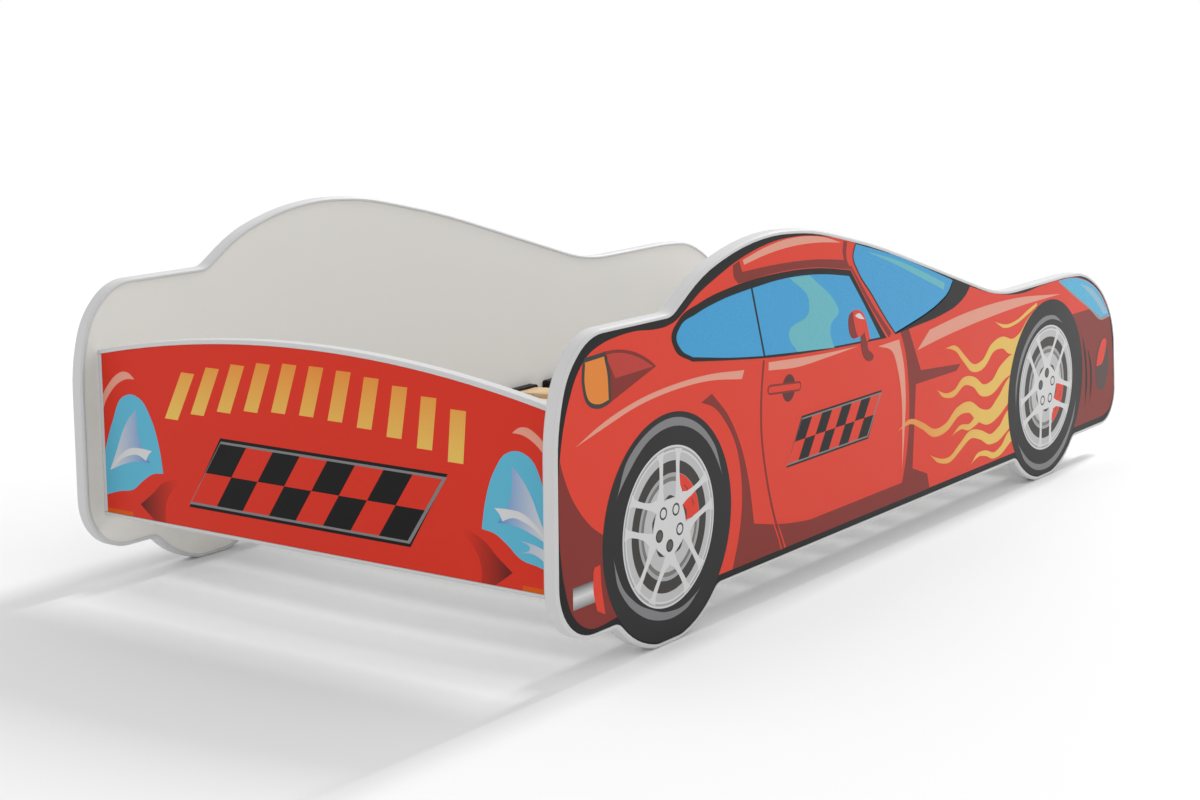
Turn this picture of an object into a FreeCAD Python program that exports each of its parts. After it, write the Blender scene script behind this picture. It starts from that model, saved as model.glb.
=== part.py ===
import FreeCAD, Part
import math
import os

import Sketcher

# Children's bed shaped as a racing car, in millimetres.
# +X runs towards the nose of the car, +Y to its left side and +Z up.
# The origin is on the floor, under the middle of the bed.

doc = FreeCAD.newDocument("car_bed")

# ------------------------------------------------------------------ driving sizes

SIZES = [
    ("overall_length", 1506, "side panel from tail to nose, over the edging"),
    ("inner_width", 710, "between the side boards: a 700 mattress with room to lift it out"),
    ("inner_length", 1405, "between the end boards: a 1400 mattress with 5 to spare"),
    ("tail_overhang", 31, "side panel behind the outer face of the rear end board"),
    ("board_thickness", 16, "laminated board of all four panels"),
    ("lip_thickness", 1, "edging lip on each face of the board"),
    ("lip_reach", 5, "edging lip, from the outer edge inwards"),
    ("edging_web", 2, "edging between the board's edge and the outer edge"),
    ("edging_ease", 2.2, "slope that eases both rims of the edging"),
    ("print_thickness", 0.3, "printed film on the outer faces"),
    ("print_inset", 5.2, "printed film, from the outer edge inwards"),
    ("sill_height", 44, "underside of the side panels between the wheels"),
    ("rear_wheel_x", 219, "rear wheel centre from the tail"),
    ("front_wheel_x", 1242, "front wheel centre from the tail"),
    ("wheel_height", 138, "wheel centres above the floor"),
    ("wheel_radius", 140, "lower outline of the wheels"),
    ("wheel_foot_round", 60, "blend from the wheel into its flat foot"),
    ("wheel_fillet", 16, "inner corner between the sill and the wheel"),
    ("end_bottom", 91, "underside of both end panels"),
    ("end_arch_radius", 1677, "arched top edge of both end panels"),
    ("rear_shoulder", 302, "rear end panel at its two sides, above the floor"),
    ("nose_shoulder", 195, "nose end panel at its two sides, above the floor"),
    ("rail_width", 30, "slat rail, out from the side board"),
    ("rail_depth", 22, "slat rail, top to bottom"),
    ("rail_top", 104, "top of the slat rails above the floor"),
    ("rail_end_gap", 60, "between a rail and each end board"),
    ("rail_ease", 2, "eased long edges of a rail"),
    ("slat_count", 14, "sprung slats"),
    ("slat_pitch", 90, "from slat to slat"),
    ("first_slat", 126, "middle of the first slat from the rear end board"),
    ("slat_width", 53, "bent slat"),
    ("slat_thickness", 8, "bent slat"),
    ("slat_ease", 1.5, "eased long edges of a slat"),
    ("slat_crown", 12, "rise of the middle of a slat over its ends"),
    ("slat_end_gap", 5, "from the end of a slat to the side board"),
    ("cradle_width", 61, "moulded slat cradle, along the rail"),
    ("cradle_foot", 30, "foot of the cradle, out from the side board"),
    ("cradle_hood", 13, "hood over the end of the slat, out from the side board"),
    ("cradle_height", 16, "cradle above the rail"),
    ("cradle_floor", 3.5, "floor of the cradle under the slat"),
    ("cradle_slot", 9, "slot for the end of the slat, floor to hood"),
    ("cradle_play", 0.3, "on each side of the slat"),
    ("cradle_wall", 4, "between the end of the slot and the side board"),
    ("cradle_ease", 3, "upper corners of the hood"),
    ("screw_count", 5, "screws through each rail"),
    ("screw_pitch", 270, "from screw to screw, each midway between two slats"),
    ("screw_length", 40, "rail screw"),
    ("screw_radius", 2, "rail screw shank"),
    ("screw_head", 4, "radius of the countersunk head"),
    ("cam_radius", 7.5, "cam lock"),
    ("cam_depth", 12.5, "cam lock"),
    ("cam_setback", 34, "cam lock from the end of the board"),
    ("bolt_radius", 3, "connecting bolt in the end board"),
    ("bolt_thread", 2.5, "connecting bolt screwed into the side board"),
    ("bolt_bite", 11, "threaded length in the side board"),
    ("bolt_bore", 4, "radius of the bore round the connecting bolt"),
    ("dowel_radius", 4, "wooden dowel"),
    ("dowel_length", 30, "wooden dowel"),
    ("dowel_bite", 10, "length of the dowel in the side board"),
    ("joint_margin", 30, "cam locks from the underside and the shoulder of an end board"),
    ("dowel_shift", 36, "rear dowels from the nearer cam lock"),
]

# Corners of the car's outline above the sill, from the nose round to the tail:
# name, place from the tail, height above the floor, radius of the round.
CORNERS = [
    ("bumper", 1511.8, 44, 50),
    ("grille", 1493.8, 208, 127),
    ("headlamp", 1441, 266, 168),
    ("bonnet_front", 1372, 298, 170),
    ("bonnet_back", 1296, 302, 145),
    ("windscreen_foot", 1075, 301, 390),
    ("windscreen", 703, 412, 2036),
    ("roof_front", 540, 448, 534),
    ("roof_top", 442, 455, 435),
    ("roof_back", 363, 446, 431),
    ("rear_window", 285, 424, 232),
    ("boot_notch", 222, 384, 29),
    ("boot_lid", 60, 385, 72),
    ("tail_upper", 18, 345, 90),
    ("tail_middle", 0, 288, 230),
    ("tail_lower", 0, 44, 70),
]

sheet = doc.addObject("Spreadsheet::Sheet", "sizes")


def write_sizes():
    """Puts each driving size in a cell of its own, between its name and its meaning."""
    rows = list(SIZES)
    for name, x, z, radius in CORNERS:
        rows.append((name + "_x", x, "outline corner from the tail"))
        rows.append((name + "_z", z, "outline corner above the floor"))
        rows.append((name + "_round", radius, "radius of the outline corner"))
    for row, (alias, value, meaning) in enumerate(rows, start=1):
        sheet.set("A%d" % row, alias)
        sheet.set("B%d" % row, str(value))
        sheet.set("C%d" % row, meaning)
        sheet.setAlias("B%d" % row, alias)


write_sizes()
doc.recompute()


class Measure:
    """A length or an angle, together with the formula that gives it from the sheet."""

    def __init__(self, value, formula):
        self.value = value
        self.formula = formula

    def __add__(self, other):
        other = measure(other)
        return Measure(self.value + other.value, "(%s + %s)" % (self.formula, other.formula))

    def __sub__(self, other):
        other = measure(other)
        return Measure(self.value - other.value, "(%s - %s)" % (self.formula, other.formula))

    def __mul__(self, other):
        other = measure(other)
        return Measure(self.value * other.value, "(%s * %s)" % (self.formula, other.formula))

    def __truediv__(self, other):
        other = measure(other)
        return Measure(self.value / other.value, "(%s / %s)" % (self.formula, other.formula))

    def __neg__(self):
        return self * -1


def measure(thing):
    """A plain number as a measure."""
    if isinstance(thing, Measure):
        return thing
    return Measure(float(thing), "%g" % thing)


def size(alias):
    """The measure in the cell of that name."""
    return Measure(float(getattr(sheet, alias)), "sizes." + alias)


def arcsine(ratio):
    """The angle, in degrees, whose sine is the ratio."""
    return Measure(math.degrees(math.asin(ratio.value)), "asin(%s)" % ratio.formula)


def bind(obj, prop, amount):
    """Ties a property to the sheet."""
    obj.setExpression(prop, measure(amount).formula)


def place(obj, x=0, y=0, z=0):
    """Ties an object's position to the sheet."""
    for axis, amount in (("x", x), ("y", y), ("z", z)):
        bind(obj, "Placement.Base." + axis, amount)


nodes = []


def keep(obj, label):
    """Names a sub-part and puts it on the list of those that are handed over."""
    obj.Label = label
    nodes.append(obj)
    return obj


# ------------------------------------------------------------------ sketching aids

ORIGIN = (-1, 1)
ACROSS = -1
UPRIGHT = -2
SMALL = 1e-9


class Drawing:
    """Draws in a sketch, with every position and radius tied to the sheet."""

    def __init__(self, sketch):
        self.sketch = sketch
        self.rules = []
        self.ties = []

    def rule(self, *terms):
        self.rules.append(Sketcher.Constraint(*terms))
        return len(self.rules) - 1

    def tied(self, amount, *terms):
        """A rule with a value that follows the sheet."""
        self.ties.append((self.rule(*terms, amount.value), amount))

    def locate(self, geometry, point, x, y):
        """Fixes a point at x, y; either may be None where another rule settles it."""
        for kind, axis, amount in (("DistanceX", UPRIGHT, x), ("DistanceY", ACROSS, y)):
            if amount is None:
                continue
            amount = measure(amount)
            if abs(amount.value) < SMALL:
                self.rule("PointOnObject", geometry, point, axis)
            elif amount.value > 0:
                self.tied(amount, kind, *ORIGIN, geometry, point)
            else:
                self.tied(-amount, kind, geometry, point, *ORIGIN)

    def line(self, start, end):
        segment = Part.LineSegment(FreeCAD.Vector(*start, 0), FreeCAD.Vector(*end, 0))
        return self.sketch.addGeometry(segment, False)

    def arc(self, centre, radius, start, end):
        """An arc from one angle to another, anticlockwise, in radians."""
        circle = Part.Circle(FreeCAD.Vector(*centre, 0), FreeCAD.Vector(0, 0, 1), radius)
        return self.sketch.addGeometry(Part.ArcOfCircle(circle, start, end), False)

    def circle(self, x, y, radius):
        x, y, radius = measure(x), measure(y), measure(radius)
        centre = FreeCAD.Vector(x.value, y.value, 0)
        shape = Part.Circle(centre, FreeCAD.Vector(0, 0, 1), radius.value)
        number = self.sketch.addGeometry(shape, False)
        self.locate(number, 3, x, y)
        self.tied(radius, "Radius", number)

    def polygon(self, corners):
        """A closed run of straight lines through the corners."""
        corners = [(measure(x), measure(y)) for x, y in corners]
        count = len(corners)
        spots = [(x.value, y.value) for x, y in corners]
        lines = [self.line(spots[i], spots[(i + 1) % count]) for i in range(count)]
        for i in range(count):
            self.rule("Coincident", lines[i - 1], 2, lines[i], 1)
            self.locate(lines[i], 1, *corners[i])

    def box(self, x0, x1, y0, y1):
        self.polygon([(x0, y0), (x1, y0), (x1, y1), (x0, y1)])

    def finish(self):
        self.sketch.addConstraint(self.rules)
        for number, amount in self.ties:
            self.sketch.setExpression("Constraints[%d]" % number, amount.formula)
        doc.recompute()
        return self.sketch


def origin_plane(body, role):
    for feature in body.Origin.OriginFeatures:
        if feature.Role == role:
            return feature
    raise ValueError(role)


def new_body(label):
    return doc.addObject("PartDesign::Body", label)


def drawing_on(body, role, name, lift=0):
    """A drawing on one of the body's origin planes, lifted off it along its normal."""
    sketch = body.newObject("Sketcher::SketchObject", name)
    sketch.AttachmentSupport = [(origin_plane(body, role), "")]
    sketch.MapMode = "FlatFace"
    bind(sketch, "AttachmentOffset.Base.z", lift)
    return Drawing(sketch)


def feature(body, kind, name, sketch, length=None, both_ways=False, backwards=False):
    """A pad or a pocket of the sketch; a pocket without a length goes right through."""
    doc.recompute()
    before = body.Shape.Volume if body.Tip else 0
    made = body.newObject("PartDesign::" + kind, name)
    made.Profile = sketch
    made.Midplane = both_ways
    made.Reversed = backwards
    if length is None:
        made.Type = "ThroughAll"
    else:
        bind(made, "Length", length)
    sketch.Visibility = False
    doc.recompute()
    if kind == "Pocket" and made.Shape.Volume > before - SMALL:
        raise ValueError("%s cuts nothing" % name)
    return made


def edges_where(shape, test):
    """Names of the edges whose middle point and direction pass the test."""
    found = []
    for number, edge in enumerate(shape.Edges, start=1):
        middle = edge.valueAt((edge.FirstParameter + edge.LastParameter) / 2)
        first, last = edge.valueAt(edge.FirstParameter), edge.valueAt(edge.LastParameter)
        if test(middle, last - first):
            found.append("Edge%d" % number)
    return found


def ease_edges(body, base, test, amount):
    """Takes the sharp corner off the edges that pass the test."""
    made = body.newObject("PartDesign::Chamfer", "eased")
    made.Base = (base, edges_where(base.Shape, test))
    bind(made, "Size", amount)
    doc.recompute()


def group(label, source, spots, turns=()):
    """One sub-part of many separate solids: copies of a shape at the given spots."""
    copies = []
    for number, spot in enumerate(spots):
        copy = source.Shape.copy()
        copy.Placement = FreeCAD.Placement()
        turn = turns[number] if turns else FreeCAD.Rotation()
        copy.transformShape(FreeCAD.Placement(FreeCAD.Vector(*spot), turn).toMatrix())
        copies.append(copy)
    made = doc.addObject("Part::Feature", label)
    made.Shape = Part.makeCompound(copies)
    return keep(made, label)


# ------------------------------------------------------------------ common positions

RIGHT, LEFT = -1, 1
SIDES = (("right", RIGHT), ("left", LEFT))

half_length = size("overall_length") / 2
half_width = size("inner_width") / 2
board = size("board_thickness")
rear_outer_x = size("tail_overhang") - half_length
rear_inner_x = rear_outer_x + board
nose_inner_x = rear_inner_x + size("inner_length")
nose_outer_x = nose_inner_x + board


def joint_heights(shoulder):
    """Heights of the lower and the upper cam lock of an end panel."""
    low = size("end_bottom") + size("joint_margin")
    high = shoulder - size("joint_margin")
    return low, high


def dowel_heights(shoulder, count):
    """Heights of the dowels between the two cam locks."""
    low, high = joint_heights(shoulder)
    if count == 1:
        return [(low + high) / 2]
    return [low + size("dowel_shift"), high - size("dowel_shift")]


ENDS = (
    ("rear", rear_outer_x, size("rear_shoulder"), 2),
    ("nose", nose_inner_x, size("nose_shoulder"), 1),
)

# ------------------------------------------------------------------ side outline


def unit(vector):
    length = math.hypot(*vector)
    return (vector[0] / length, vector[1] / length)


def heading(centre, point):
    return math.atan2(point[1] - centre[1], point[0] - centre[0])


class Walk:
    """A closed outline walked anticlockwise, each piece tangent to the one before."""

    def __init__(self, drawing):
        self.drawing = drawing
        self.pieces = []

    def line(self, start, end):
        number = self.drawing.line(start, end)
        self.pieces.append((number, 1, 2))
        return number

    def arc(self, centre, radius, start, end, left_turn):
        """An arc between two points on its circle, turning left or right."""
        first, last = (start, end) if left_turn else (end, start)
        number = self.drawing.arc(centre, radius, heading(centre, first), heading(centre, last))
        self.pieces.append((number, 1, 2) if left_turn else (number, 2, 1))
        return number

    def join(self):
        for here, after in zip(self.pieces, self.pieces[1:] + self.pieces[:1]):
            self.drawing.rule("Tangent", here[0], here[2], after[0], after[1])


def corner_arcs():
    """Where each rounded corner over the sill starts and ends, and its centre."""
    spots = [(x, z) for _, x, z, _ in CORNERS]
    arcs = []
    for i, (_, x, z, radius) in enumerate(CORNERS):
        along_in = unit((x - spots[i - 1][0], z - spots[i - 1][1])) if i else (1, 0)
        last = i == len(CORNERS) - 1
        along_out = (1, 0) if last else unit((spots[i + 1][0] - x, spots[i + 1][1] - z))
        cross = along_in[0] * along_out[1] - along_in[1] * along_out[0]
        turn = math.atan2(cross, along_in[0] * along_out[0] + along_in[1] * along_out[1])
        reach = radius * abs(math.tan(turn / 2))
        side = math.copysign(radius, turn)
        start = (x - along_in[0] * reach, z - along_in[1] * reach)
        end = (x + along_out[0] * reach, z + along_out[1] * reach)
        centre = (start[0] - along_in[1] * side, start[1] + along_in[0] * side)
        arcs.append((centre, radius, start, end, turn > 0))
    return arcs


def wheel_points(wheel_x):
    """Points of a wheel's outline under the sill, on its tail side, about the wheel's middle."""
    centre_z = size("wheel_height").value
    radius = size("wheel_radius").value
    fillet = size("wheel_fillet").value
    foot = size("wheel_foot_round").value
    sill = size("sill_height").value
    fillet_z = sill - fillet
    fillet_x = math.sqrt((radius + fillet) ** 2 - (centre_z - fillet_z) ** 2)
    foot_x = math.sqrt((radius - foot) ** 2 - (centre_z - foot) ** 2)
    share = radius / (radius + fillet)
    rim = (fillet_x * share, centre_z + (fillet_z - centre_z) * share)
    share = radius / (radius - foot)
    toe = (foot_x * share, centre_z + (foot - centre_z) * share)
    return {
        "sill": (fillet_x, sill),
        "fillet": (fillet_x, fillet_z),
        "rim": rim,
        "toe": toe,
        "foot": (foot_x, foot),
        "floor": (foot_x, 0.0),
    }


def walk_wheel(walk, wheel):
    """The part of a wheel that hangs below the sill, from its tail side to its nose side."""
    drawing = walk.drawing
    middle = size(wheel + "_wheel_x")
    at = wheel_points(middle.value)
    hub = (middle.value, size("wheel_height").value)

    def spot(name, side):
        x, z = at[name]
        return (middle.value + side * x, z)

    radius, fillet, foot = size("wheel_radius"), size("wheel_fillet"), size("wheel_foot_round")
    tail, nose = -1, 1
    pieces = [
        walk.arc(spot("fillet", tail), fillet.value, spot("sill", tail), spot("rim", tail), False),
        walk.arc(hub, radius.value, spot("rim", tail), spot("toe", tail), True),
        walk.arc(spot("foot", tail), foot.value, spot("toe", tail), spot("floor", tail), True),
        walk.line(spot("floor", tail), spot("floor", nose)),
        walk.arc(spot("foot", nose), foot.value, spot("floor", nose), spot("toe", nose), True),
        walk.arc(hub, radius.value, spot("toe", nose), spot("rim", nose), True),
        walk.arc(spot("fillet", nose), fillet.value, spot("rim", nose), spot("sill", nose), False),
    ]
    tail_fillet, tail_rim, tail_foot, flat, nose_foot, nose_rim, nose_fillet = pieces
    for number, amount in ((tail_fillet, fillet), (nose_fillet, fillet), (tail_foot, foot),
                           (nose_foot, foot), (tail_rim, radius), (nose_rim, radius)):
        drawing.tied(amount, "Radius", number)
    for number in (tail_rim, nose_rim):
        drawing.locate(number, 3, middle, size("wheel_height"))
    drawing.rule("Horizontal", flat)
    drawing.rule("PointOnObject", flat, 1, ACROSS)
    return at["sill"][0]


def side_outline(side_name, side):
    """The car's outline, drawn on the inner face of one side board."""
    sketch = doc.addObject("Sketcher::SketchObject", side_name + "_side_outline")
    sketch.Placement = FreeCAD.Placement(
        FreeCAD.Vector(), FreeCAD.Rotation(FreeCAD.Vector(1, 0, 0), 90)
    )
    place(sketch, -half_length, half_width * side, 0)
    drawing = Drawing(sketch)
    walk = Walk(drawing)
    sill = size("sill_height")
    arcs = corner_arcs()
    reach = wheel_points(0)["sill"][0]
    front, rear = size("front_wheel_x").value, size("rear_wheel_x").value
    sill_lines = [walk.line((front + reach, sill.value), arcs[0][2])]
    sides = [sill_lines[0]]
    for i, (centre, radius, start, end, left_turn) in enumerate(arcs):
        number = walk.arc(centre, radius, start, end, left_turn)
        drawing.tied(size(CORNERS[i][0] + "_round"), "Radius", number)
        after = arcs[i + 1][2] if i + 1 < len(arcs) else (rear - reach, sill.value)
        sides.append(walk.line(end, after))
    sill_lines.append(sides[-1])
    walk_wheel(walk, "rear")
    sill_lines.append(walk.line((rear + reach, sill.value), (front - reach, sill.value)))
    walk_wheel(walk, "front")
    walk.join()
    for number in sill_lines:
        drawing.rule("Horizontal", number)
        drawing.locate(number, 1, None, sill)
    for i, (name, x, z, _) in enumerate(CORNERS):
        point = sketch.addGeometry(Part.Point(FreeCAD.Vector(x, z, 0)), True)
        drawing.rule("PointOnObject", point, 1, sides[i])
        drawing.rule("PointOnObject", point, 1, sides[i + 1])
        on_sill = i in (0, len(CORNERS) - 1)
        drawing.locate(point, 1, size(name + "_x"), None if on_sill else size(name + "_z"))
    return drawing.finish()


def inset(outline, name, amount):
    """The outline moved inwards by the amount."""
    made = doc.addObject("Part::Offset2D", name)
    made.Source = outline
    made.Mode = "Pipe"
    made.Join = "Intersection"
    bind(made, "Value", -measure(amount))
    return made


def slab(name, outline, side, outwards, inwards=0):
    """The outline made solid, outwards and inwards from the inner face of the board."""
    made = doc.addObject("Part::Extrusion", name)
    made.Base = outline
    made.DirMode = "Custom"
    made.Dir = FreeCAD.Vector(0, side, 0)
    made.Solid = True
    bind(made, "LengthFwd", outwards)
    bind(made, "LengthRev", inwards)
    return made


def cut(label, base, tool):
    made = doc.addObject("Part::Cut", label)
    made.Base = base
    made.Tool = tool
    return made


# ------------------------------------------------------------------ side panels


def side_bores(side_name, side):
    """Bores in the inner face of a side board for its bolts, dowels and rail screws."""
    face = half_width.value * side
    inwards = FreeCAD.Vector(0, side, 0)
    tools = []

    def bore(x, z, radius, depth):
        spot = FreeCAD.Vector(x.value, face, z.value)
        tools.append(Part.makeCylinder(radius.value, depth.value, spot, inwards))

    for _, outer_x, shoulder, dowels in ENDS:
        middle = outer_x + board / 2
        for height in joint_heights(shoulder):
            bore(middle, height, size("bolt_thread"), size("bolt_bite"))
        for height in dowel_heights(shoulder, dowels):
            bore(middle, height, size("dowel_radius"), size("dowel_bite"))
    for x in screw_places():
        bore(x, screw_height(), size("screw_radius"), size("screw_length") - size("rail_width"))
    made = doc.addObject("Part::Feature", side_name + "_side_bores")
    made.Shape = Part.makeCompound(tools)
    return made


def screw_places():
    """Places of the rail screws, each midway between two slats."""
    first = rear_inner_x + size("first_slat") + size("slat_pitch") / 2
    return [first + size("screw_pitch") * i for i in range(int(size("screw_count").value))]


def screw_height():
    return size("rail_top") - size("rail_depth") / 2


def side_panel(side_name, side):
    """One side: the shaped board, the edging round it and the printed film on it."""
    outline = side_outline(side_name, side)
    lip = size("lip_thickness")
    core = inset(outline, side_name + "_side_core", size("edging_web"))
    window = inset(outline, side_name + "_side_window", size("lip_reach"))
    film = inset(outline, side_name + "_side_film", size("print_inset"))
    blank = slab(side_name + "_side_blank", core, side, board)
    keep(cut(side_name + "_side_board", blank, side_bores(side_name, side)), side_name + "_side_board")
    strip = slab(side_name + "_side_strip", outline, side, board + lip, lip)
    doc.recompute()
    eased = doc.addObject("Part::Chamfer", side_name + "_side_eased")
    eased.Base = strip
    slope = size("edging_ease").value
    rims = edges_where(strip.Shape, lambda middle, along: abs(along.y) < SMALL)
    eased.Edges = [(int(name[len("Edge"):]), slope, slope) for name in rims]
    slot = slab(side_name + "_side_slot", core, side, board)
    hole = slab(side_name + "_side_hole", window, side, board + lip * 2, lip * 2)
    channel = cut(side_name + "_side_channel", eased, slot)
    keep(cut(side_name + "_side_edging", channel, hole), side_name + "_side_edging")
    skin = slab(side_name + "_side_print", film, side, board + size("print_thickness"), -board)
    keep(skin, side_name + "_side_print")


# ------------------------------------------------------------------ end panels


def arch_rise():
    """Rise of the arched top edge over its two ends."""
    radius = size("end_arch_radius")
    drop = math.sqrt(radius.value ** 2 - half_width.value ** 2)
    formula = "(%s - sqrt(%s^2 - %s^2))" % (radius.formula, radius.formula, half_width.formula)
    return Measure(radius.value - drop, formula)


def arched_shape(drawing, bottom, shoulder_z, top_inset, side_inset=0):
    """A panel with an arched top, seen along X: straight sides and underside."""
    crest = shoulder_z + arch_rise()
    radius = size("end_arch_radius") - top_inset
    centre_z = crest - size("end_arch_radius")
    half = half_width - side_inset
    shoulder = centre_z.value + math.sqrt(radius.value ** 2 - half.value ** 2)
    left, right, low = -half.value, half.value, bottom.value
    centre = (0.0, centre_z.value)
    top = drawing.arc(centre, radius.value, heading(centre, (right, shoulder)),
                      heading(centre, (left, shoulder)))
    side_left = drawing.line((left, shoulder), (left, low))
    under = drawing.line((left, low), (right, low))
    side_right = drawing.line((right, low), (right, shoulder))
    drawing.rule("Coincident", top, 2, side_left, 1)
    drawing.rule("Coincident", side_left, 2, under, 1)
    drawing.rule("Coincident", under, 2, side_right, 1)
    drawing.rule("Coincident", side_right, 2, top, 1)
    drawing.rule("Vertical", side_left)
    drawing.rule("Vertical", side_right)
    drawing.locate(under, 1, -half, bottom)
    drawing.locate(under, 2, half, bottom)
    drawing.locate(top, 3, 0, centre_z)
    drawing.tied(radius, "Radius", top)


def end_board(end, outer_x, shoulder, dowels):
    """An end board with its cam, bolt and dowel bores; its side edges butt on the side boards."""
    body = new_body(end + "_end_board")
    web = size("edging_web")
    face = drawing_on(body, "YZ_Plane", "face")
    arched_shape(face, size("end_bottom") + web, shoulder, web)
    feature(body, "Pad", "panel", face.finish(), board)
    inside = board if end == "rear" else measure(0)
    cams = drawing_on(body, "YZ_Plane", "cams", inside)
    for height in joint_heights(shoulder):
        for side in (RIGHT, LEFT):
            cams.circle((half_width - size("cam_setback")) * side, height, size("cam_radius"))
    feature(body, "Pocket", "cam_bores", cams.finish(), size("cam_depth"), backwards=end == "nose")
    for side_name, side in SIDES:
        for kind, heights, radius, depth in (
            ("bolt", joint_heights(shoulder), size("bolt_bore"), size("cam_setback")),
            ("dowel", dowel_heights(shoulder, dowels), size("dowel_radius"),
             size("dowel_length") - size("dowel_bite")),
        ):
            edge = drawing_on(body, "XZ_Plane", "%s_%ss" % (side_name, kind), half_width * -side)
            for height in heights:
                edge.circle(board / 2, height, radius)
            feature(body, "Pocket", "%s_%s_bores" % (side_name, kind), edge.finish(), depth,
                    backwards=side == LEFT)
    place(body, outer_x)
    keep(body, end + "_end_board")


def channel_corners(level, up):
    """Section of the edging channel of an end board, about the outer face: open upwards or down."""
    lip, reach, web = size("lip_thickness"), size("lip_reach"), size("edging_web")
    return [
        (-lip, level), (board + lip, level), (board + lip, level + reach * up),
        (board, level + reach * up), (board, level + web * up), (measure(0), level + web * up),
        (measure(0), level + reach * up), (-lip, level + reach * up),
    ]


def outer_rims(half_span):
    """Tests for the two long outer edges of a channel, by their place across the board."""
    lip = size("lip_thickness").value

    def test(middle, along):
        across = abs(along.y) > half_span
        at_rim = min(abs(middle.x + lip), abs(middle.x - board.value - lip)) < SMALL
        return across and at_rim

    return test


def end_edging(end, outer_x, shoulder):
    """The two edging channels of an end board: along its arched top and its underside."""
    radius = size("end_arch_radius")
    centre_z = shoulder + arch_rise() - radius
    top = new_body(end + "_top_edging")
    section = drawing_on(top, "XZ_Plane", "section")
    section.polygon(channel_corners(radius, -1))
    section.finish()
    bow = top.newObject("PartDesign::Revolution", "bow")
    bow.Profile = section.sketch
    bow.ReferenceAxis = (section.sketch, ["H_Axis"])
    bow.Midplane = True
    bind(bow, "Angle", arcsine(half_width / radius) * 2)
    doc.recompute()
    outer = radius.value

    def top_rim(middle, along):
        return outer_rims(half_width.value)(middle, along) and abs(middle.z - outer) < 1

    ease_edges(top, bow, top_rim, size("edging_ease"))
    place(top, outer_x, 0, centre_z)
    keep(top, end + "_top_edging")

    foot = new_body(end + "_bottom_edging")
    section = drawing_on(foot, "XZ_Plane", "section")
    section.polygon(channel_corners(size("end_bottom"), 1))
    straight = feature(foot, "Pad", "length", section.finish(), half_width * 2, both_ways=True)
    low = size("end_bottom").value

    def low_rim(middle, along):
        return outer_rims(half_width.value)(middle, along) and abs(middle.z - low) < SMALL

    ease_edges(foot, straight, low_rim, size("edging_ease"))
    place(foot, outer_x)
    keep(foot, end + "_bottom_edging")


def end_print(end, outer_x, shoulder):
    """The printed film on the outer face of an end board."""
    body = new_body(end + "_end_print")
    edge = size("print_inset")
    face = drawing_on(body, "YZ_Plane", "face")
    arched_shape(face, size("end_bottom") + edge, shoulder, edge)
    feature(body, "Pad", "film", face.finish(), size("print_thickness"))
    outside = outer_x - size("print_thickness") if end == "rear" else outer_x + board
    place(body, outside)
    keep(body, end + "_end_print")


# ------------------------------------------------------------------ slats and what carries them


def slat_places():
    """Middles of the slats along the bed."""
    first = rear_inner_x + size("first_slat")
    return [first + size("slat_pitch") * i for i in range(int(size("slat_count").value))]


def slat_rail(side_name, side):
    """A planed batten along a side board, bored and countersunk for its screws."""
    body = new_body(side_name + "_slat_rail")
    start = rear_inner_x + size("rail_end_gap")
    length = size("inner_length") - size("rail_end_gap") * 2
    near, far = half_width * side, (half_width - size("rail_width")) * side
    top, bottom = size("rail_top"), size("rail_top") - size("rail_depth")
    section = drawing_on(body, "YZ_Plane", "section", start)
    section.box(near, far, bottom, top)
    batten = feature(body, "Pad", "batten", section.finish(), length)

    def long_inner_edge(middle, along):
        return abs(along.x) > 1 and abs(middle.y - far.value) < SMALL

    ease_edges(body, batten, long_inner_edge, size("rail_ease"))
    screws = drawing_on(body, "XZ_Plane", "screws", far * -1)
    for x in screw_places():
        screws.circle(x, screw_height(), size("screw_radius"))
    feature(body, "Pocket", "screw_bores", screws.finish(), backwards=side == RIGHT)
    sinks = drawing_on(body, "XZ_Plane", "sinks", far * -1)
    for x in screw_places():
        sinks.circle(x, screw_height(), size("screw_head"))
    sink = feature(body, "Pocket", "countersinks", sinks.finish(),
                   size("screw_head") - size("screw_radius"), backwards=side == RIGHT)
    sink.TaperAngle = -45
    doc.recompute()
    keep(body, side_name + "_slat_rail")


def slat(number, x):
    """A bentwood slat: its section, with eased edges, carried round a shallow arc."""
    body = new_body("slat_%02d" % number)
    half_span = half_width - size("slat_end_gap")
    crown = size("slat_crown")
    under = (half_span * half_span + crown * crown) / (crown * 2)
    over = under + size("slat_thickness")
    half, ease = size("slat_width") / 2, size("slat_ease")
    section = drawing_on(body, "XZ_Plane", "section")
    section.polygon([
        (ease - half, under), (half - ease, under), (half, under + ease), (half, over - ease),
        (half - ease, over), (ease - half, over), (-half, over - ease), (-half, under + ease),
    ])
    section.finish()
    bend = body.newObject("PartDesign::Revolution", "bend")
    bend.Profile = section.sketch
    bend.ReferenceAxis = (section.sketch, ["H_Axis"])
    bend.Midplane = True
    bind(bend, "Angle", arcsine(half_span / under) * 2)
    seat = size("rail_top") + size("cradle_floor")
    place(body, x, 0, seat + crown - under)
    keep(body, body.Label)


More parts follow.
